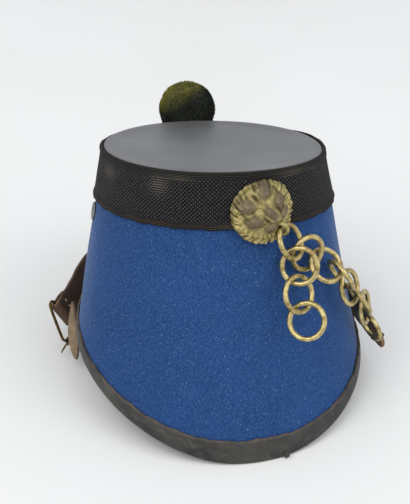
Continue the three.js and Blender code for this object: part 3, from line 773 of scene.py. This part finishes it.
bindingPiece = wrapGrid(
    "rim_leather", binding["columns"], len(bindingTable) - 1, bindingPlace, (0.57, 0.06),
    {"wear": bindingWear},
)
finishPiece(bindingPiece, bindingMaterial, ["rim_binding"])

# peak
peakPiece = copyNode("peak", "peak_leather")
softenEdges(peakPiece, 0.0005, 3, 35, 50)
finishPiece(peakPiece, peakMaterial, ["peak"])
print("binding and peak made")

# pompom
low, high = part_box("pompom")
pompomCentre = (Vector(low) + Vector(high)) / 2
pompom = dict(
    radius=0.0184, coreShare=0.95, coreRough=0.0006, tufts=5200, tuftLong=0.0042, tuftWide=0.00042,
    tipShare=0.45, rootShare=0.905, clump=0.006, uneven=0.012, lean=0.22,
    # painted light: the way the lit side faces, where the painted light starts and how far it spreads
    paintedLightWay=(0.42, -0.28, 0.86), paintedLightFrom=0.22, paintedLightSpan=0.6,
)
deselect()
bpy.ops.mesh.primitive_ico_sphere_add(
    subdivisions=5, radius=pompom["radius"] * pompom["coreShare"], location=pompomCentre
)
pompomCore = named("pompom_core")
bpy.ops.object.transform_apply(location=True, rotation=False, scale=False)
draw = random.Random(7)
for vertex in pompomCore.data.vertices:
    way = vertex.co - pompomCentre
    vertex.co += way.normalized() * draw.uniform(-pompom["coreRough"], pompom["coreRough"])
# one tuft: a thin three sided lock that narrows to its tip
deselect()
bpy.ops.mesh.primitive_cone_add(
    vertices=3, radius1=pompom["tuftWide"], radius2=pompom["tuftWide"] * pompom["tipShare"],
    depth=pompom["tuftLong"], end_fill_type="NGON",
)
tuft = named("tuft")
tuftSpots = np.array([vertex.co for vertex in tuft.data.vertices])
tuftFaces = [list(face.vertices) for face in tuft.data.polygons]
spots, faces, strands = [], [], []
goldenTurn = math.pi * (3 - math.sqrt(5))
for i in range(pompom["tufts"]):
    height = 1 - (2 * i + 1) / pompom["tufts"]
    ring = math.sqrt(1 - height * height)
    way = Vector((ring * math.cos(i * goldenTurn), ring * math.sin(i * goldenTurn), height))
    leaning = Vector([draw.gauss(0, pompom["lean"]) for _ in range(3)])
    clump = math.sin(9 * way.x + 2) + math.sin(11 * way.y) + math.sin(10 * way.z + 1)
    uneven = draw.uniform(-pompom["uneven"], pompom["uneven"])
    reach = pompom["rootShare"] + pompom["clump"] * clump + uneven
    turn = (way + leaning).to_track_quat("Z", "Y").to_matrix()
    base = len(spots)
    size = draw.uniform(0.8, 1.25)
    for spot in tuftSpots:
        placed = turn @ Vector(spot * (size, size, 1)) + way * reach * pompom["radius"] + pompomCentre
        spots.append(placed[:])
    faces.extend([[base + k for k in face] for face in tuftFaces])
    strands.extend([draw.random()] * len(tuftSpots))
pompomMesh = bpy.data.meshes.new("pompom_locks")
pompomMesh.from_pydata(spots, [], faces)
pompomLocks = bpy.data.objects.new("pompom_locks", pompomMesh)
bpy.context.scene.collection.objects.link(pompomLocks)
bpy.data.objects.remove(tuft)
for piece, values in ((pompomCore, None), (pompomLocks, strands)):
    mesh = piece.data
    layer = mesh.attributes.new("strand", "FLOAT", "POINT")
    layer.data.foreach_set("value", values or [0.9] * len(mesh.vertices))
    # painted light: the share of pale olive grows towards the side of the pompom that faces the light
    layer = mesh.attributes.new("paintedLight", "FLOAT", "POINT")
    paintedLightWay = Vector(pompom["paintedLightWay"]).normalized()
    shares = []
    for vertex in mesh.vertices:
        way = (vertex.co - pompomCentre) / pompom["radius"]
        patch = 0.16 * math.sin(14 * way.x + 3) * math.sin(12 * way.z) + 0.1 * math.sin(23 * way.y)
        rise = (way.dot(paintedLightWay) - pompom["paintedLightFrom"]) / pompom["paintedLightSpan"]
        rise = min(1, max(0, rise))
        shares.append(min(1, max(0, rise * rise * (3 - 2 * rise) + 0.6 * patch * rise)))
    layer.data.foreach_set("value", shares)
pompomPiece = join("pompom_wool", [pompomCore, pompomLocks])
finishPiece(pompomPiece, woolMaterial, ["pompom"])

stemPiece = copyNode("pompom_stem", "pompom_peg")
softenEdges(stemPiece, 0.0003, 2, 40, 40)
finishPiece(stemPiece, steelMaterial, ["pompom_stem"])
print("pompom made")


# chain of wire rings: each one stands where its solid is
def ringPlace(node):
    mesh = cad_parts[node].data
    spots = np.empty(len(mesh.vertices) * 3)
    mesh.vertices.foreach_get("co", spots)
    spots = np.unique(spots.reshape(-1, 3).round(7), axis=0)
    centre = spots.mean(0)
    return Vector(centre), Vector(np.linalg.svd(spots - centre)[2][2])


chain = dict(
    count=11, radius=0.00975, wire=0.0015, seam=0.86, seamTurn=0.02, spin=2.1, around=64, sides=16,
)
deselect()
bpy.ops.mesh.primitive_torus_add(
    major_radius=chain["radius"], minor_radius=chain["wire"],
    major_segments=chain["around"], minor_segments=chain["sides"],
)
wireRing = named("wire_ring")
bpy.ops.object.mode_set(mode="EDIT")
bpy.ops.mesh.select_all(action="DESELECT")
shape = bmesh.from_edit_mesh(wireRing.data)
for vertex in shape.verts:  # the butt joint, where the two ends of the wire meet
    vertex.select = abs(math.atan2(vertex.co.y, vertex.co.x)) < chain["seamTurn"]
shape.select_flush(True)
bmesh.update_edit_mesh(wireRing.data)
bpy.ops.transform.resize(value=(chain["seam"],) * 3, center_override=(chain["radius"], 0, 0))
smoothShade(60)
ringPlaces = {}
for i in range(1, chain["count"] + 1):
    node = f"ring_{i:02d}"
    centre, axis = ringPlace(node)
    ringPlaces[node] = centre, axis
    ring = wireRing.copy()
    ring.data = wireRing.data.copy()
    ring.name = f"chain_ring_{i:02d}"
    ring.data.name = ring.name
    bpy.context.scene.collection.objects.link(ring)
    turn = axis.to_track_quat("Z", "Y").to_matrix().to_4x4()
    spin = Matrix.Rotation(i * chain["spin"], 4, "Z")
    ring.data.transform(Matrix.Translation(centre) @ turn @ spin)
    finishPiece(ring, ringMaterial, [node])
bpy.data.objects.remove(wireRing)
print("chain made")

# lion boss: relief in the face's own axes, as shares of the radius, its heights in mm
boss = dict(
    angle=97.2, fromTop=0.0206, radius=0.0168, edge=3.0, rimShare=0.35, dome=4.3, turn=39,
    locks=22, tips=29, curls=37, hairs=66, faceRise=0.18, lift=0.0027,
    hookRoot=(0.012, -0.0053), eye=0.0037, wire=0.00125, room=0.0005,
    columns=264, rows=100, faceEnd=0.86, backStart=0.88, backEnd=0.93,
)
# columns: across, up, half width across, half width up, height in mm
faceForms = [
    (0.15, 0.1, 0.5, 0.6, 2.3), (-0.19, 0.48, 0.2, 0.17, 2.2), (0.49, 0.46, 0.2, 0.17, 2.2),
    (-0.05, 0.22, 0.1, 0.07, -1.4), (0.35, 0.22, 0.1, 0.07, -1.4), (0.15, 0.05, 0.12, 0.36, 2.1),
    (0.15, -0.42, 0.14, 0.11, 2.1), (-0.36, -0.02, 0.18, 0.18, 2.0), (0.58, -0.1, 0.15, 0.18, 1.9),
    (-0.12, -0.52, 0.17, 0.13, 2.2), (0.4, -0.52, 0.16, 0.13, 2.1), (0.13, -0.71, 0.16, 0.07, -1.3),
]
# the same columns for the fine cutting: eyeballs, lids, nostrils, lip, furrows, creases
fineForms = [
    (-0.05, 0.21, 0.055, 0.04, 0.9), (0.35, 0.21, 0.055, 0.04, 0.9),
    (0.08, -0.46, 0.035, 0.03, -0.9), (0.22, -0.46, 0.035, 0.03, -0.9),
    (0.15, -0.58, 0.022, 0.08, -1.0), (0.0, -0.65, 0.12, 0.025, -0.9), (0.3, -0.65, 0.12, 0.025, -0.9),
    (0.15, 0.52, 0.05, 0.16, -1.3), (0.06, 0.62, 0.03, 0.08, 0.7), (0.24, 0.62, 0.03, 0.08, 0.7),
    (-0.19, 0.26, 0.16, 0.035, -0.9), (0.5, 0.24, 0.16, 0.035, -0.9),
    (-0.08, -0.2, 0.04, 0.2, -1.0), (0.38, -0.22, 0.04, 0.2, -1.0),
    (-0.3, -0.28, 0.2, 0.035, -1.0), (0.6, -0.34, 0.15, 0.035, -1.0),
    (-0.46, 0.28, 0.04, 0.2, -0.8), (0.76, 0.2, 0.04, 0.2, -0.8),
]
# columns: across, up, half width across, half width up of the smooth worn places
bareForms = [
    (-0.21, 0.5, 0.22, 0.17), (0.51, 0.48, 0.22, 0.17), (0.15, -0.1, 0.1, 0.25),
    (-0.38, -0.02, 0.19, 0.17), (0.6, -0.1, 0.15, 0.18), (-0.14, -0.5, 0.18, 0.12), (0.42, -0.5, 0.14, 0.12),
]
bossAngle = math.radians(boss["angle"])
bossUp = wallLength(np.array(bossAngle)) - boss["fromTop"]
bossTurn = lengthPerTurn(bossAngle, bossUp)


def bossPoint(x, y, out):
    return wallPoint(bossAngle + np.asarray(x) / bossTurn, bossUp + np.asarray(y), boss["lift"] + out)


def bossHeights(share, turn):
    across = share * np.cos(turn - math.radians(boss["turn"]))
    up = share * np.sin(turn - math.radians(boss["turn"]))
    height = boss["edge"] + boss["dome"] * (1 - share * share)
    rise = up - boss["faceRise"]  # the face sits above the middle of the boss
    for x, y, wide, tall, high in faceForms:
        height = height + high * np.exp(-((across - x) / wide) ** 2 - ((rise - y) / tall) ** 2)
    fine = 0
    for x, y, wide, tall, high in fineForms:
        fine = fine + high * np.exp(-((across - x) / wide) ** 2 - ((rise - y) / tall) ** 2)
    # two tiers of curled locks, each one raised at its root and ending in a tip
    mane = smooth(np.hypot(across - 0.05, up - 0.09), 0.68, 0.8)
    first = np.cos(turn * boss["locks"] + 5 * share + 0.5 * np.sin(3 * turn + 1))
    second = np.cos(turn * boss["tips"] - 11 * share + 0.9 * np.sin(4 * turn))
    hair = np.cos(turn * boss["hairs"] + 15 * share + 1.5 * np.sin(5 * turn))
    upper = 1 - smooth(share, 0.74 + 0.05 * second, 0.79 + 0.05 * second)
    third = np.cos(turn * boss["curls"] + 16 * share + 1.2 * np.sin(2 * turn))
    relief = upper * (0.45 + 0.65 * second) + (1 - upper) * (0.45 * first + 0.5 * third)
    relief = mane * (relief + 0.34 * hair + 0.35 * np.sin(9 * across + 2) * np.sin(8 * up))
    return height + relief + fine, relief + 1.1 * fine, across, rise


def bossShare(v):
    return np.clip(v / boss["faceEnd"], 0, 1)


def bossPlace(u, v):
    turn = u * 2 * math.pi
    share = bossShare(v)
    wave = 0.6 * np.cos(turn * boss["locks"] + 5) + np.cos(turn * boss["tips"] - 11)
    wave = 1 + 0.011 * (wave + 0.7 * np.cos(9 * turn)) * smooth(share, 0.9, 1)
    rimHeight = boss["edge"] * boss["rimShare"]
    rim = smooth(share, 0.93, 1.0)
    height = bossHeights(share, turn)[0] * (1 - rim) + rimHeight * rim
    # behind the rim the surface turns in and closes the back
    back = smooth(v, boss["backStart"], boss["backEnd"])
    height = np.where(v >= boss["backStart"], rimHeight * (1 - back), height)
    reach = boss["radius"] * share * wave
    inward = boss["radius"] * (1 - v) / (1 - boss["backEnd"]) * 0.99
    reach = np.where(v > boss["backEnd"], inward, reach)
    return bossPoint(reach * np.cos(turn), reach * np.sin(turn), height / 1000)


def bareShare(across, up):
    total = 0
    for x, y, wide, tall in bareForms:
        total = total + np.exp(-((across - x) / wide) ** 4 - ((up - y) / tall) ** 4)
    return np.clip(total, 0, 1)


# Painted shade on the boss: a little darker all over, darker in the grooves of the relief and in a ring
# round each worn lobe
def bossPaintedShade(u, v):
    relief, across, up = bossHeights(bossShare(v), u * 2 * math.pi)[1:]
    bare = bareShare(across, up - 0.03)
    return np.clip(0.12 - 0.6 * relief + 2.2 * bare * (1 - bare), 0, 0.85)


def bossBare(u, v):
    return bareShare(*bossHeights(bossShare(v), u * 2 * math.pi)[2:])


bossPiece = wrapGrid(
    "lion_cast", boss["columns"], boss["rows"], bossPlace, (0.1, 0.03),
    # deep carries the painted shade of the boss
    {"deep": bossPaintedShade, "bare": bossBare}, angle=80,
)
ringCentre, ringAxis = ringPlaces["ring_01"]
hookReach = Vector(bossPoint(0.0, 0.0, boss["edge"] / 1000)) - ringCentre
hookReach -= ringAxis * hookReach.dot(ringAxis)
hookReach = hookReach.normalized() * chain["radius"]
hookAt = ringCentre + hookReach
hookAxis = ringAxis.cross(hookReach).normalized()
hookRoot = Vector(bossPoint(*boss["hookRoot"], boss["edge"] * 0.8 / 1000))
hookWay = hookRoot - hookAt
hookWay = (hookWay - hookAxis * hookWay.dot(hookAxis)).normalized()
# room for the first ring in the edge of the mane
ringRoom = torusAt(
    "ring_room", ringCentre, ringAxis, chain["radius"], chain["wire"] + boss["room"],
    chain["around"], chain["sides"],
)
applyModifier(bossPiece, "BOOLEAN", operation="DIFFERENCE", object=ringRoom, solver="EXACT")
bpy.data.objects.remove(ringRoom)
eyePiece = torusAt("hook_eye", hookAt, hookAxis, boss["eye"], boss["wire"], 40, 12)
bpy.ops.object.transform_apply(location=True, rotation=True, scale=True)
smoothShade(60)
stalkLine = [hookAt + hookWay * boss["eye"], hookRoot]
stalkLine = [stalkLine[0].lerp(stalkLine[1], k / 6) for k in range(7)]
stalk = tube("hook_stalk", stalkLine, np.linspace(1, 1.3, 7) * boss["wire"], 12)
bossPiece = join("lion_boss_cast", [bossPiece, eyePiece, stalk])
smoothShade(70)
finishPiece(bossPiece, bossMaterial, ["lion_boss"])
print("boss made")

# ventilation eyelet
vent = dict(angle=-6, fromTop=0.0395, columns=64, turn=0.01, rise=0.001)
# columns: radius, height over the cloth, in mm
ventTable = [(2.0, -3.7), (2.4, -3.9), (2.8, -3.7), (2.8, 0.4), (3.1, 0.5), (5.3, 0.5), (5.5, 0.65)]
ventTable += [(5.5, 0.95), (5.35, 1.25), (4.95, 1.5), (4.3, 1.65), (3.6, 1.68), (3.0, 1.6)]
ventTable += [(2.5, 1.4), (2.15, 1.05), (2.0, 0.6), (2.0, -1.5), (2.0, -3.7)]
ventTable = np.array(ventTable) / 1000
ventAngle = math.radians(vent["angle"])
ventUp = wallLength(np.array(ventAngle)) - vent["fromTop"]
ventSpot = wallPoint(ventAngle, ventUp, 0.0)
ventRound = wallPoint(ventAngle + vent["turn"], ventUp, 0.0)
ventRound = ventRound - wallPoint(ventAngle - vent["turn"], ventUp, 0.0)
ventRise = wallPoint(ventAngle, ventUp + vent["rise"], 0.0) - ventSpot
ventNormal = unit(np.cross(ventRound, ventRise))
ventSide = unit(ventRound - ventNormal * (ventRound @ ventNormal))
ventOver = np.cross(ventNormal, ventSide)


def ventPlace(u, v):
    turn = u * 2 * math.pi
    reach, rise = rowsAt(ventTable, v).T
    reach = reach * (1 + 0.012 * np.sin(5 * turn) * (reach > 0.004))
    flat = ventSide * np.cos(turn)[:, None] + ventOver * np.sin(turn)[:, None]
    return ventSpot + flat * reach[:, None] + ventNormal * rise[:, None]


ventPiece = wrapGrid("vent_ring", vent["columns"], len(ventTable) - 1, ventPlace, (0.03, 0.02))
finishPiece(ventPiece, steelMaterial, ["vent_eyelet"])

# chin strap
strap = dict(
    wide=0.0173, thick=0.0022, fold=0.015, wire=0.00105, steps=150, foldSteps=14, tipSteps=12,
)
# columns: degrees round the hat, out from the rim and height above the table in strap widths,
# lean of its upper edge in degrees
strapRoute = np.array([
    (-19.6, 0.520, 1.600, 36), (-32.8, 0.450, 1.660, 36), (-47.6, 0.620, 1.930, 34),
    (-66.2, 1.106, 1.670, 22), (-83.2, 1.988, 1.387, 6), (-96.6, 2.217, 1.243, 0),
    (-109.6, 2.149, 1.214, -4), (-125.3, 1.778, 1.272, -6), (-145.2, 0.995, 1.387, -6),
    (-166.2, 0.432, 1.474, -8), (-181.0, 0.342, 1.503, -12), (-195.0, 0.639, 1.561, -16),
])
routeAngles = np.radians(strapRoute[:, 0])
routePoints = rimPoint(routeAngles) + outward(routeAngles) * strapRoute[:, 1:2] * strap["wide"]
routePoints[:, 2] = strapRoute[:, 2] * strap["wide"]
routeLeans = np.radians(strapRoute[:, 3])


# Smooth curve through the route's points, its speed set by the distances between them
def routePoint(share):
    last = len(routePoints) - 1
    k = min(int(share * last), last - 1)
    t = share * last - k
    b, c = routePoints[k], routePoints[k + 1]
    a = routePoints[k - 1] if k > 0 else 2 * b - c
    d = routePoints[k + 2] if k + 2 <= last else 2 * c - b
    before, here, after = (np.linalg.norm(q - p) ** 0.5 for p, q in ((a, b), (b, c), (c, d)))
    start = (b - a) / before - (c - a) / (before + here) + (c - b) / here
    end = (c - b) / here - (d - b) / (here + after) + (d - c) / after
    start, end = start * here, end * here
    bend = -3 * b + 3 * c - 2 * start - end
    return b + start * t + bend * t * t + (2 * b - 2 * c + start + end) * t ** 3


def strapFrame(share):
    low, high = max(0, share - 1e-4), min(1, share + 1e-4)
    ahead = unit(routePoint(high) - routePoint(low))
    lean = np.interp(share * (len(routeLeans) - 1), range(len(routeLeans)), routeLeans)
    away = unit([-ahead[1], ahead[0], 0])
    wide = np.array([0, 0, math.cos(lean)]) + away * math.sin(lean)
    wide = unit(wide - ahead * (wide @ ahead))
    return ahead, wide, np.cross(wide, ahead)


# rows of the strap: centre, width direction, thickness direction, half width, wear
strapRows = []
ahead, wide, face = strapFrame(0)
foldRadius = strap["wire"] + gap + strap["thick"] / 2
barCentre = routePoint(0) + face * foldRadius
for share in np.linspace(0, 1, strap["foldSteps"]):
    off = (strap["thick"] + gap) * (1 - share) + 2 * foldRadius * share
    spot = routePoint(0) + face * off + ahead * strap["fold"] * (1 - share)
    half = strap["wide"] / 2 * (1 - 0.12 * max(0, 1 - share * 9))
    strapRows.append((spot, wide, face, half, 0.9 if share < 0.1 else 0.25))
for k in range(1, strap["foldSteps"]):
    turn = k / strap["foldSteps"] * math.pi
    spoke = face * math.cos(turn) - ahead * math.sin(turn)
    strapRows.append((barCentre + spoke * foldRadius, wide, spoke, strap["wide"] / 2, 0.32))
for share in np.linspace(0, 1, strap["steps"] + 1):
    ahead, wide, face = strapFrame(share)
    worn = 0.15 + 0.5 * smooth(share, 0.9, 1.0)
    strapRows.append((routePoint(share), wide, -face, strap["wide"] / 2, worn))
tipAhead, tipWide, tipFace = strapFrame(1)
for share in np.sin(np.linspace(0.05, 1, strap["tipSteps"]) * math.pi / 2):
    spot = routePoint(1) + tipAhead * share * strap["wide"] / 2
    half = strap["wide"] / 2 * math.sqrt(max(1 - share * share, 0.002))
    strapRows.append((spot, tipWide, -tipFace, half, 0.65 + 0.3 * share))
rowSpots, rowWides, rowFaces, rowHalves, rowWears = (np.array(part) for part in zip(*strapRows))
# the rounded section: across from -1 to 1, and through from -1 to 1
sectionTable = [(a, 1) for a in np.linspace(-0.88, 0.88, 9)]
sectionTable += [(0.955, 0.86), (0.99, 0.5), (1, 0), (0.99, -0.5), (0.955, -0.86)]
sectionTable += [(a, -1) for a in np.linspace(0.88, -0.88, 9)]
sectionTable += [(-0.955, -0.86), (-0.99, -0.5), (-1, 0), (-0.99, 0.5), (-0.955, 0.86)]
sectionTable.append(sectionTable[0])
sectionTable = np.array(sectionTable)


def strapParts(u, v):
    across, through = rowsAt(sectionTable, v).T
    return rowsAt(np.arange(len(strapRows)), u), across, through


def strapPlace(u, v):
    row, across, through = strapParts(u, v)
    thick = strap["thick"] / 2 * (1 - 0.12 * np.abs(across) ** 6)
    ripple = 0.00012 * np.sin(row * 0.9 + 3 * across) * (np.abs(across) > 0.8)
    side = rowWides[row] * (across * rowHalves[row] + ripple)[:, None]
    return rowSpots[row] + side + rowFaces[row] * (through * thick)[:, None]


def strapWear(u, v):
    row, across, through = strapParts(u, v)
    edge = smooth(np.abs(across), 0.86, 1.0)
    patch = 0.5 + 0.5 * np.sin(row * 0.37 + 2 * across) * np.sin(row * 0.11 + 1)
    return np.clip(rowWears[row] * (0.5 + 0.5 * patch) + 0.5 * edge * patch, 0, 1)


strapPiece = wrapGrid(
    "strap_band", len(strapRows) - 1, len(sectionTable) - 1, strapPlace, (0.36, 0.04),
    {"wear": strapWear}, angle=50,
)
closeEnds()
finishPiece(strapPiece, strapMaterial, ["chin_strap"])
strapLength = sum(np.linalg.norm(np.diff(rowSpots, axis=0), axis=1))
print("strap made, route", round(float(strapLength), 4), "m with its fold")


# stitches through the fold of the strap: each one a thread arch over the leather
stitch = dict(
    count=3, start=0.0042, slip=0.0008, edge=-0.62, apart=0.52, long=0.0017, slant=0.0004,
    rise=0.00045, sunk=0.6, radius=0.00032,
)


def stitchArch(start, end, normal):
    rise = np.sin(np.linspace(0, math.pi, 7))[:, None] * stitch["rise"]
    along = (end - start) * np.linspace(0, 1, 7)[:, None]
    line = start + along + normal * (rise - stitch["radius"] * stitch["sunk"])
    return tube("strap_stitches", line, stitch["radius"], 6)


stitches = []
ahead, wide, face = strapFrame(0)
for k in range(stitch["count"]):
    for off, way in ((1.5 * strap["thick"] + gap, face), (-strap["thick"] / 2, -face)):
        spot = routePoint(0) + ahead * (stitch["start"] + stitch["slip"] * k) + face * off
        start = spot + wide * (stitch["edge"] + k * stitch["apart"]) * strap["wide"] / 2
        end = start + wide * stitch["long"] + ahead * stitch["slant"]
        stitches.append(stitchArch(start, end, way))
finishPiece(join("strap_stitches", stitches), paleThread)

# three turns of thread hold the last ring to the end of the strap
thread = dict(shifts=(-0.0011, 0, 0.0011), past=0.0017, halfHigh=0.0021, radius=0.00035)
ringCentre, ringAxis = ringPlaces["ring_11"]
turns = np.linspace(0, 2 * math.pi, 360)
side = unit(np.cross(ringAxis, (0.2, 0.3, 0.9)))
over = np.cross(ringAxis, side)
wireSpots = np.array(ringCentre) + chain["radius"] * (
    np.cos(turns)[:, None] * side + np.sin(turns)[:, None] * over
)
tipRows = np.arange(len(strapRows) - 30, len(strapRows) - 4)
ringToStrap = math.inf
for row in tipRows:
    for share in np.linspace(-0.75, 0.75, 13):
        spot = rowSpots[row] + rowWides[row] * share * rowHalves[row]
        away = np.linalg.norm(wireSpots - spot, axis=1)
        if away.min() < ringToStrap:
            ringToStrap, nearest, leatherSpot = away.min(), int(away.argmin()), spot
wireSpot = wireSpots[nearest]
wireAhead = unit(wireSpots[(nearest + 1) % (len(turns) - 1)] - wireSpots[nearest - 1])
toLeather = unit(leatherSpot - wireSpot)
across = unit(np.cross(wireAhead, toLeather))
longHalf = ringToStrap / 2 + thread["past"]
loop = np.linspace(0, 2 * math.pi, 29)[:-1]
threadTurns = []
for shift in thread["shifts"]:
    middle = (wireSpot + leatherSpot) / 2 + wireAhead * shift
    line = middle + toLeather * longHalf * np.cos(loop)[:, None]
    line = line + across * thread["halfHigh"] * np.sin(loop)[:, None]
    threadTurns.append(tube("thread_turn", line, thread["radius"], 8, closedLine=True))
finishPiece(join("ring_threads", threadTurns), darkThread)
print("stitches made, ring to strap", round(float(ringToStrap), 5))

# small marks of wear: lint on the cloth, a knot on the band and a torn corner of the binding
lint = dict(curl=0.0004, lift=0.0004, radius=0.00009, level=0.05)
# columns: degrees, share of the wall's height, length, turn of the thread in degrees
lintTable = [
    (75.5, 0.683, 0.003, 80), (94, 0.618, 0.0024, -35),
    (95, 0.3, 0.0012, 60), (93.2, 0.63, 0.0016, 10),
]
lintPieces = []
for degrees, share, long, slant in lintTable:
    angle = math.radians(degrees)
    along = np.linspace(-0.5, 0.5, 9) * long
    sideways = along * math.cos(math.radians(slant)) + lint["curl"] * np.sin(along / long * 7)
    turned = sideways / lengthPerTurn(angle, lint["level"])
    up = share * wallLength(np.array(angle)) + along * math.sin(math.radians(slant))
    line = wallPoint(angle + turned, up, lint["lift"])
    lintPieces.append(tube("lint", line, lint["radius"], 6))
finishPiece(join("cloth_lint", lintPieces), lintThread)

# columns: degrees, up from the rim, out of the cloth, size
bandKnot = (190, float(wallLength(np.radians(190))) - 0.026, 0.0026, 0.0011)
tornCorner = (101, 0.0016, 0.0022, 0.0016)
tears = []
for degrees, up, out, size in (bandKnot, tornCorner):
    spot = wallPoint(math.radians(degrees), up, out)
    deselect()
    bpy.ops.mesh.primitive_ico_sphere_add(subdivisions=3, radius=size, location=spot)
    tear = named("tear")
    bpy.ops.object.transform_apply(location=True, rotation=False, scale=False)
    for vertex in tear.data.vertices:
        away = vertex.co - Vector(spot)
        vertex.co += away * (0.35 * math.sin(3000 * vertex.co.x) * math.sin(2600 * vertex.co.z))
    tears.append(tear)
finishPiece(join("worn_knots", tears), darkThread)

# buckle and tab
for node, name in (("buckle_frame", "buckle_wire"), ("buckle_tongue", "buckle_prong")):
    piece = copyNode(node, name)
    applyModifier(piece, "SUBSURF", levels=2, render_levels=2)
    smoothShade(60)
    finishPiece(piece, buckleMaterial, [node])
tabPiece = copyNode("buckle_tab", "suede_tab")
softenEdges(tabPiece, 0.0005, 3, 35, 50)
finishPiece(tabPiece, suedeMaterial, ["buckle_tab"])
print("buckle made")

# floor, lights and camera
deselect()
bpy.ops.mesh.primitive_plane_add(size=8, location=(0, 0, -0.0003))
floor = named("floor")
floor.data.materials.append(makeFloor())

world = bpy.data.worlds.new("paleRoom")
bpy.context.scene.world = world
world.use_nodes = True
world.node_tree.nodes["Background"].inputs["Color"].default_value = (0.93, 0.95, 1, 1)
world.node_tree.nodes["Background"].inputs["Strength"].default_value = 0.8

lights = [  # name, place, aim, size, watts, colour
    ("windowLight", (1.15, 0.75, 1.6), (0, 0, 0.08), 1.6, 17, (1, 0.99, 0.96)),
    ("roomLight", (-1.1, 1.1, 1.4), (0, 0, 0.08), 1.6, 12, (0.95, 0.97, 1)),
]
for name, place, aim, size, watts, color in lights:
    lamp = bpy.data.lights.new(name, "AREA")
    lamp.energy, lamp.size, lamp.color = watts, size, color
    made = bpy.data.objects.new(name, lamp)
    bpy.context.scene.collection.objects.link(made)
    made.location = place
    made.rotation_euler = (Vector(aim) - Vector(place)).to_track_quat("-Z", "Y").to_euler()

view = dict(
    place=(0.14164, 0.5443, 0.4226),  # from the middle of the rim
    right=(-0.97305, 0.23028, 0.01253),
    up=(-0.10902, -0.50719, 0.85491),
    sensor=36,
    lens=79.04,
)
camera = bpy.data.objects.new("camera", bpy.data.cameras.new("camera"))
bpy.context.scene.collection.objects.link(camera)
bpy.context.scene.camera = camera
camera.data.sensor_fit = "VERTICAL"
camera.data.sensor_height = view["sensor"]
camera.data.sensor_width = view["sensor"]
camera.data.lens = view["lens"]
back = np.cross(view["right"], view["up"])
camera.matrix_world = Matrix([
    (view["right"][k], view["up"][k], back[k], (np.array(view["place"]) + hatMiddle)[k])
    for k in range(3)
] + [(0, 0, 0, 1)])
bpy.context.scene.view_settings.view_transform = "Standard"
print("floor, lights and camera made")
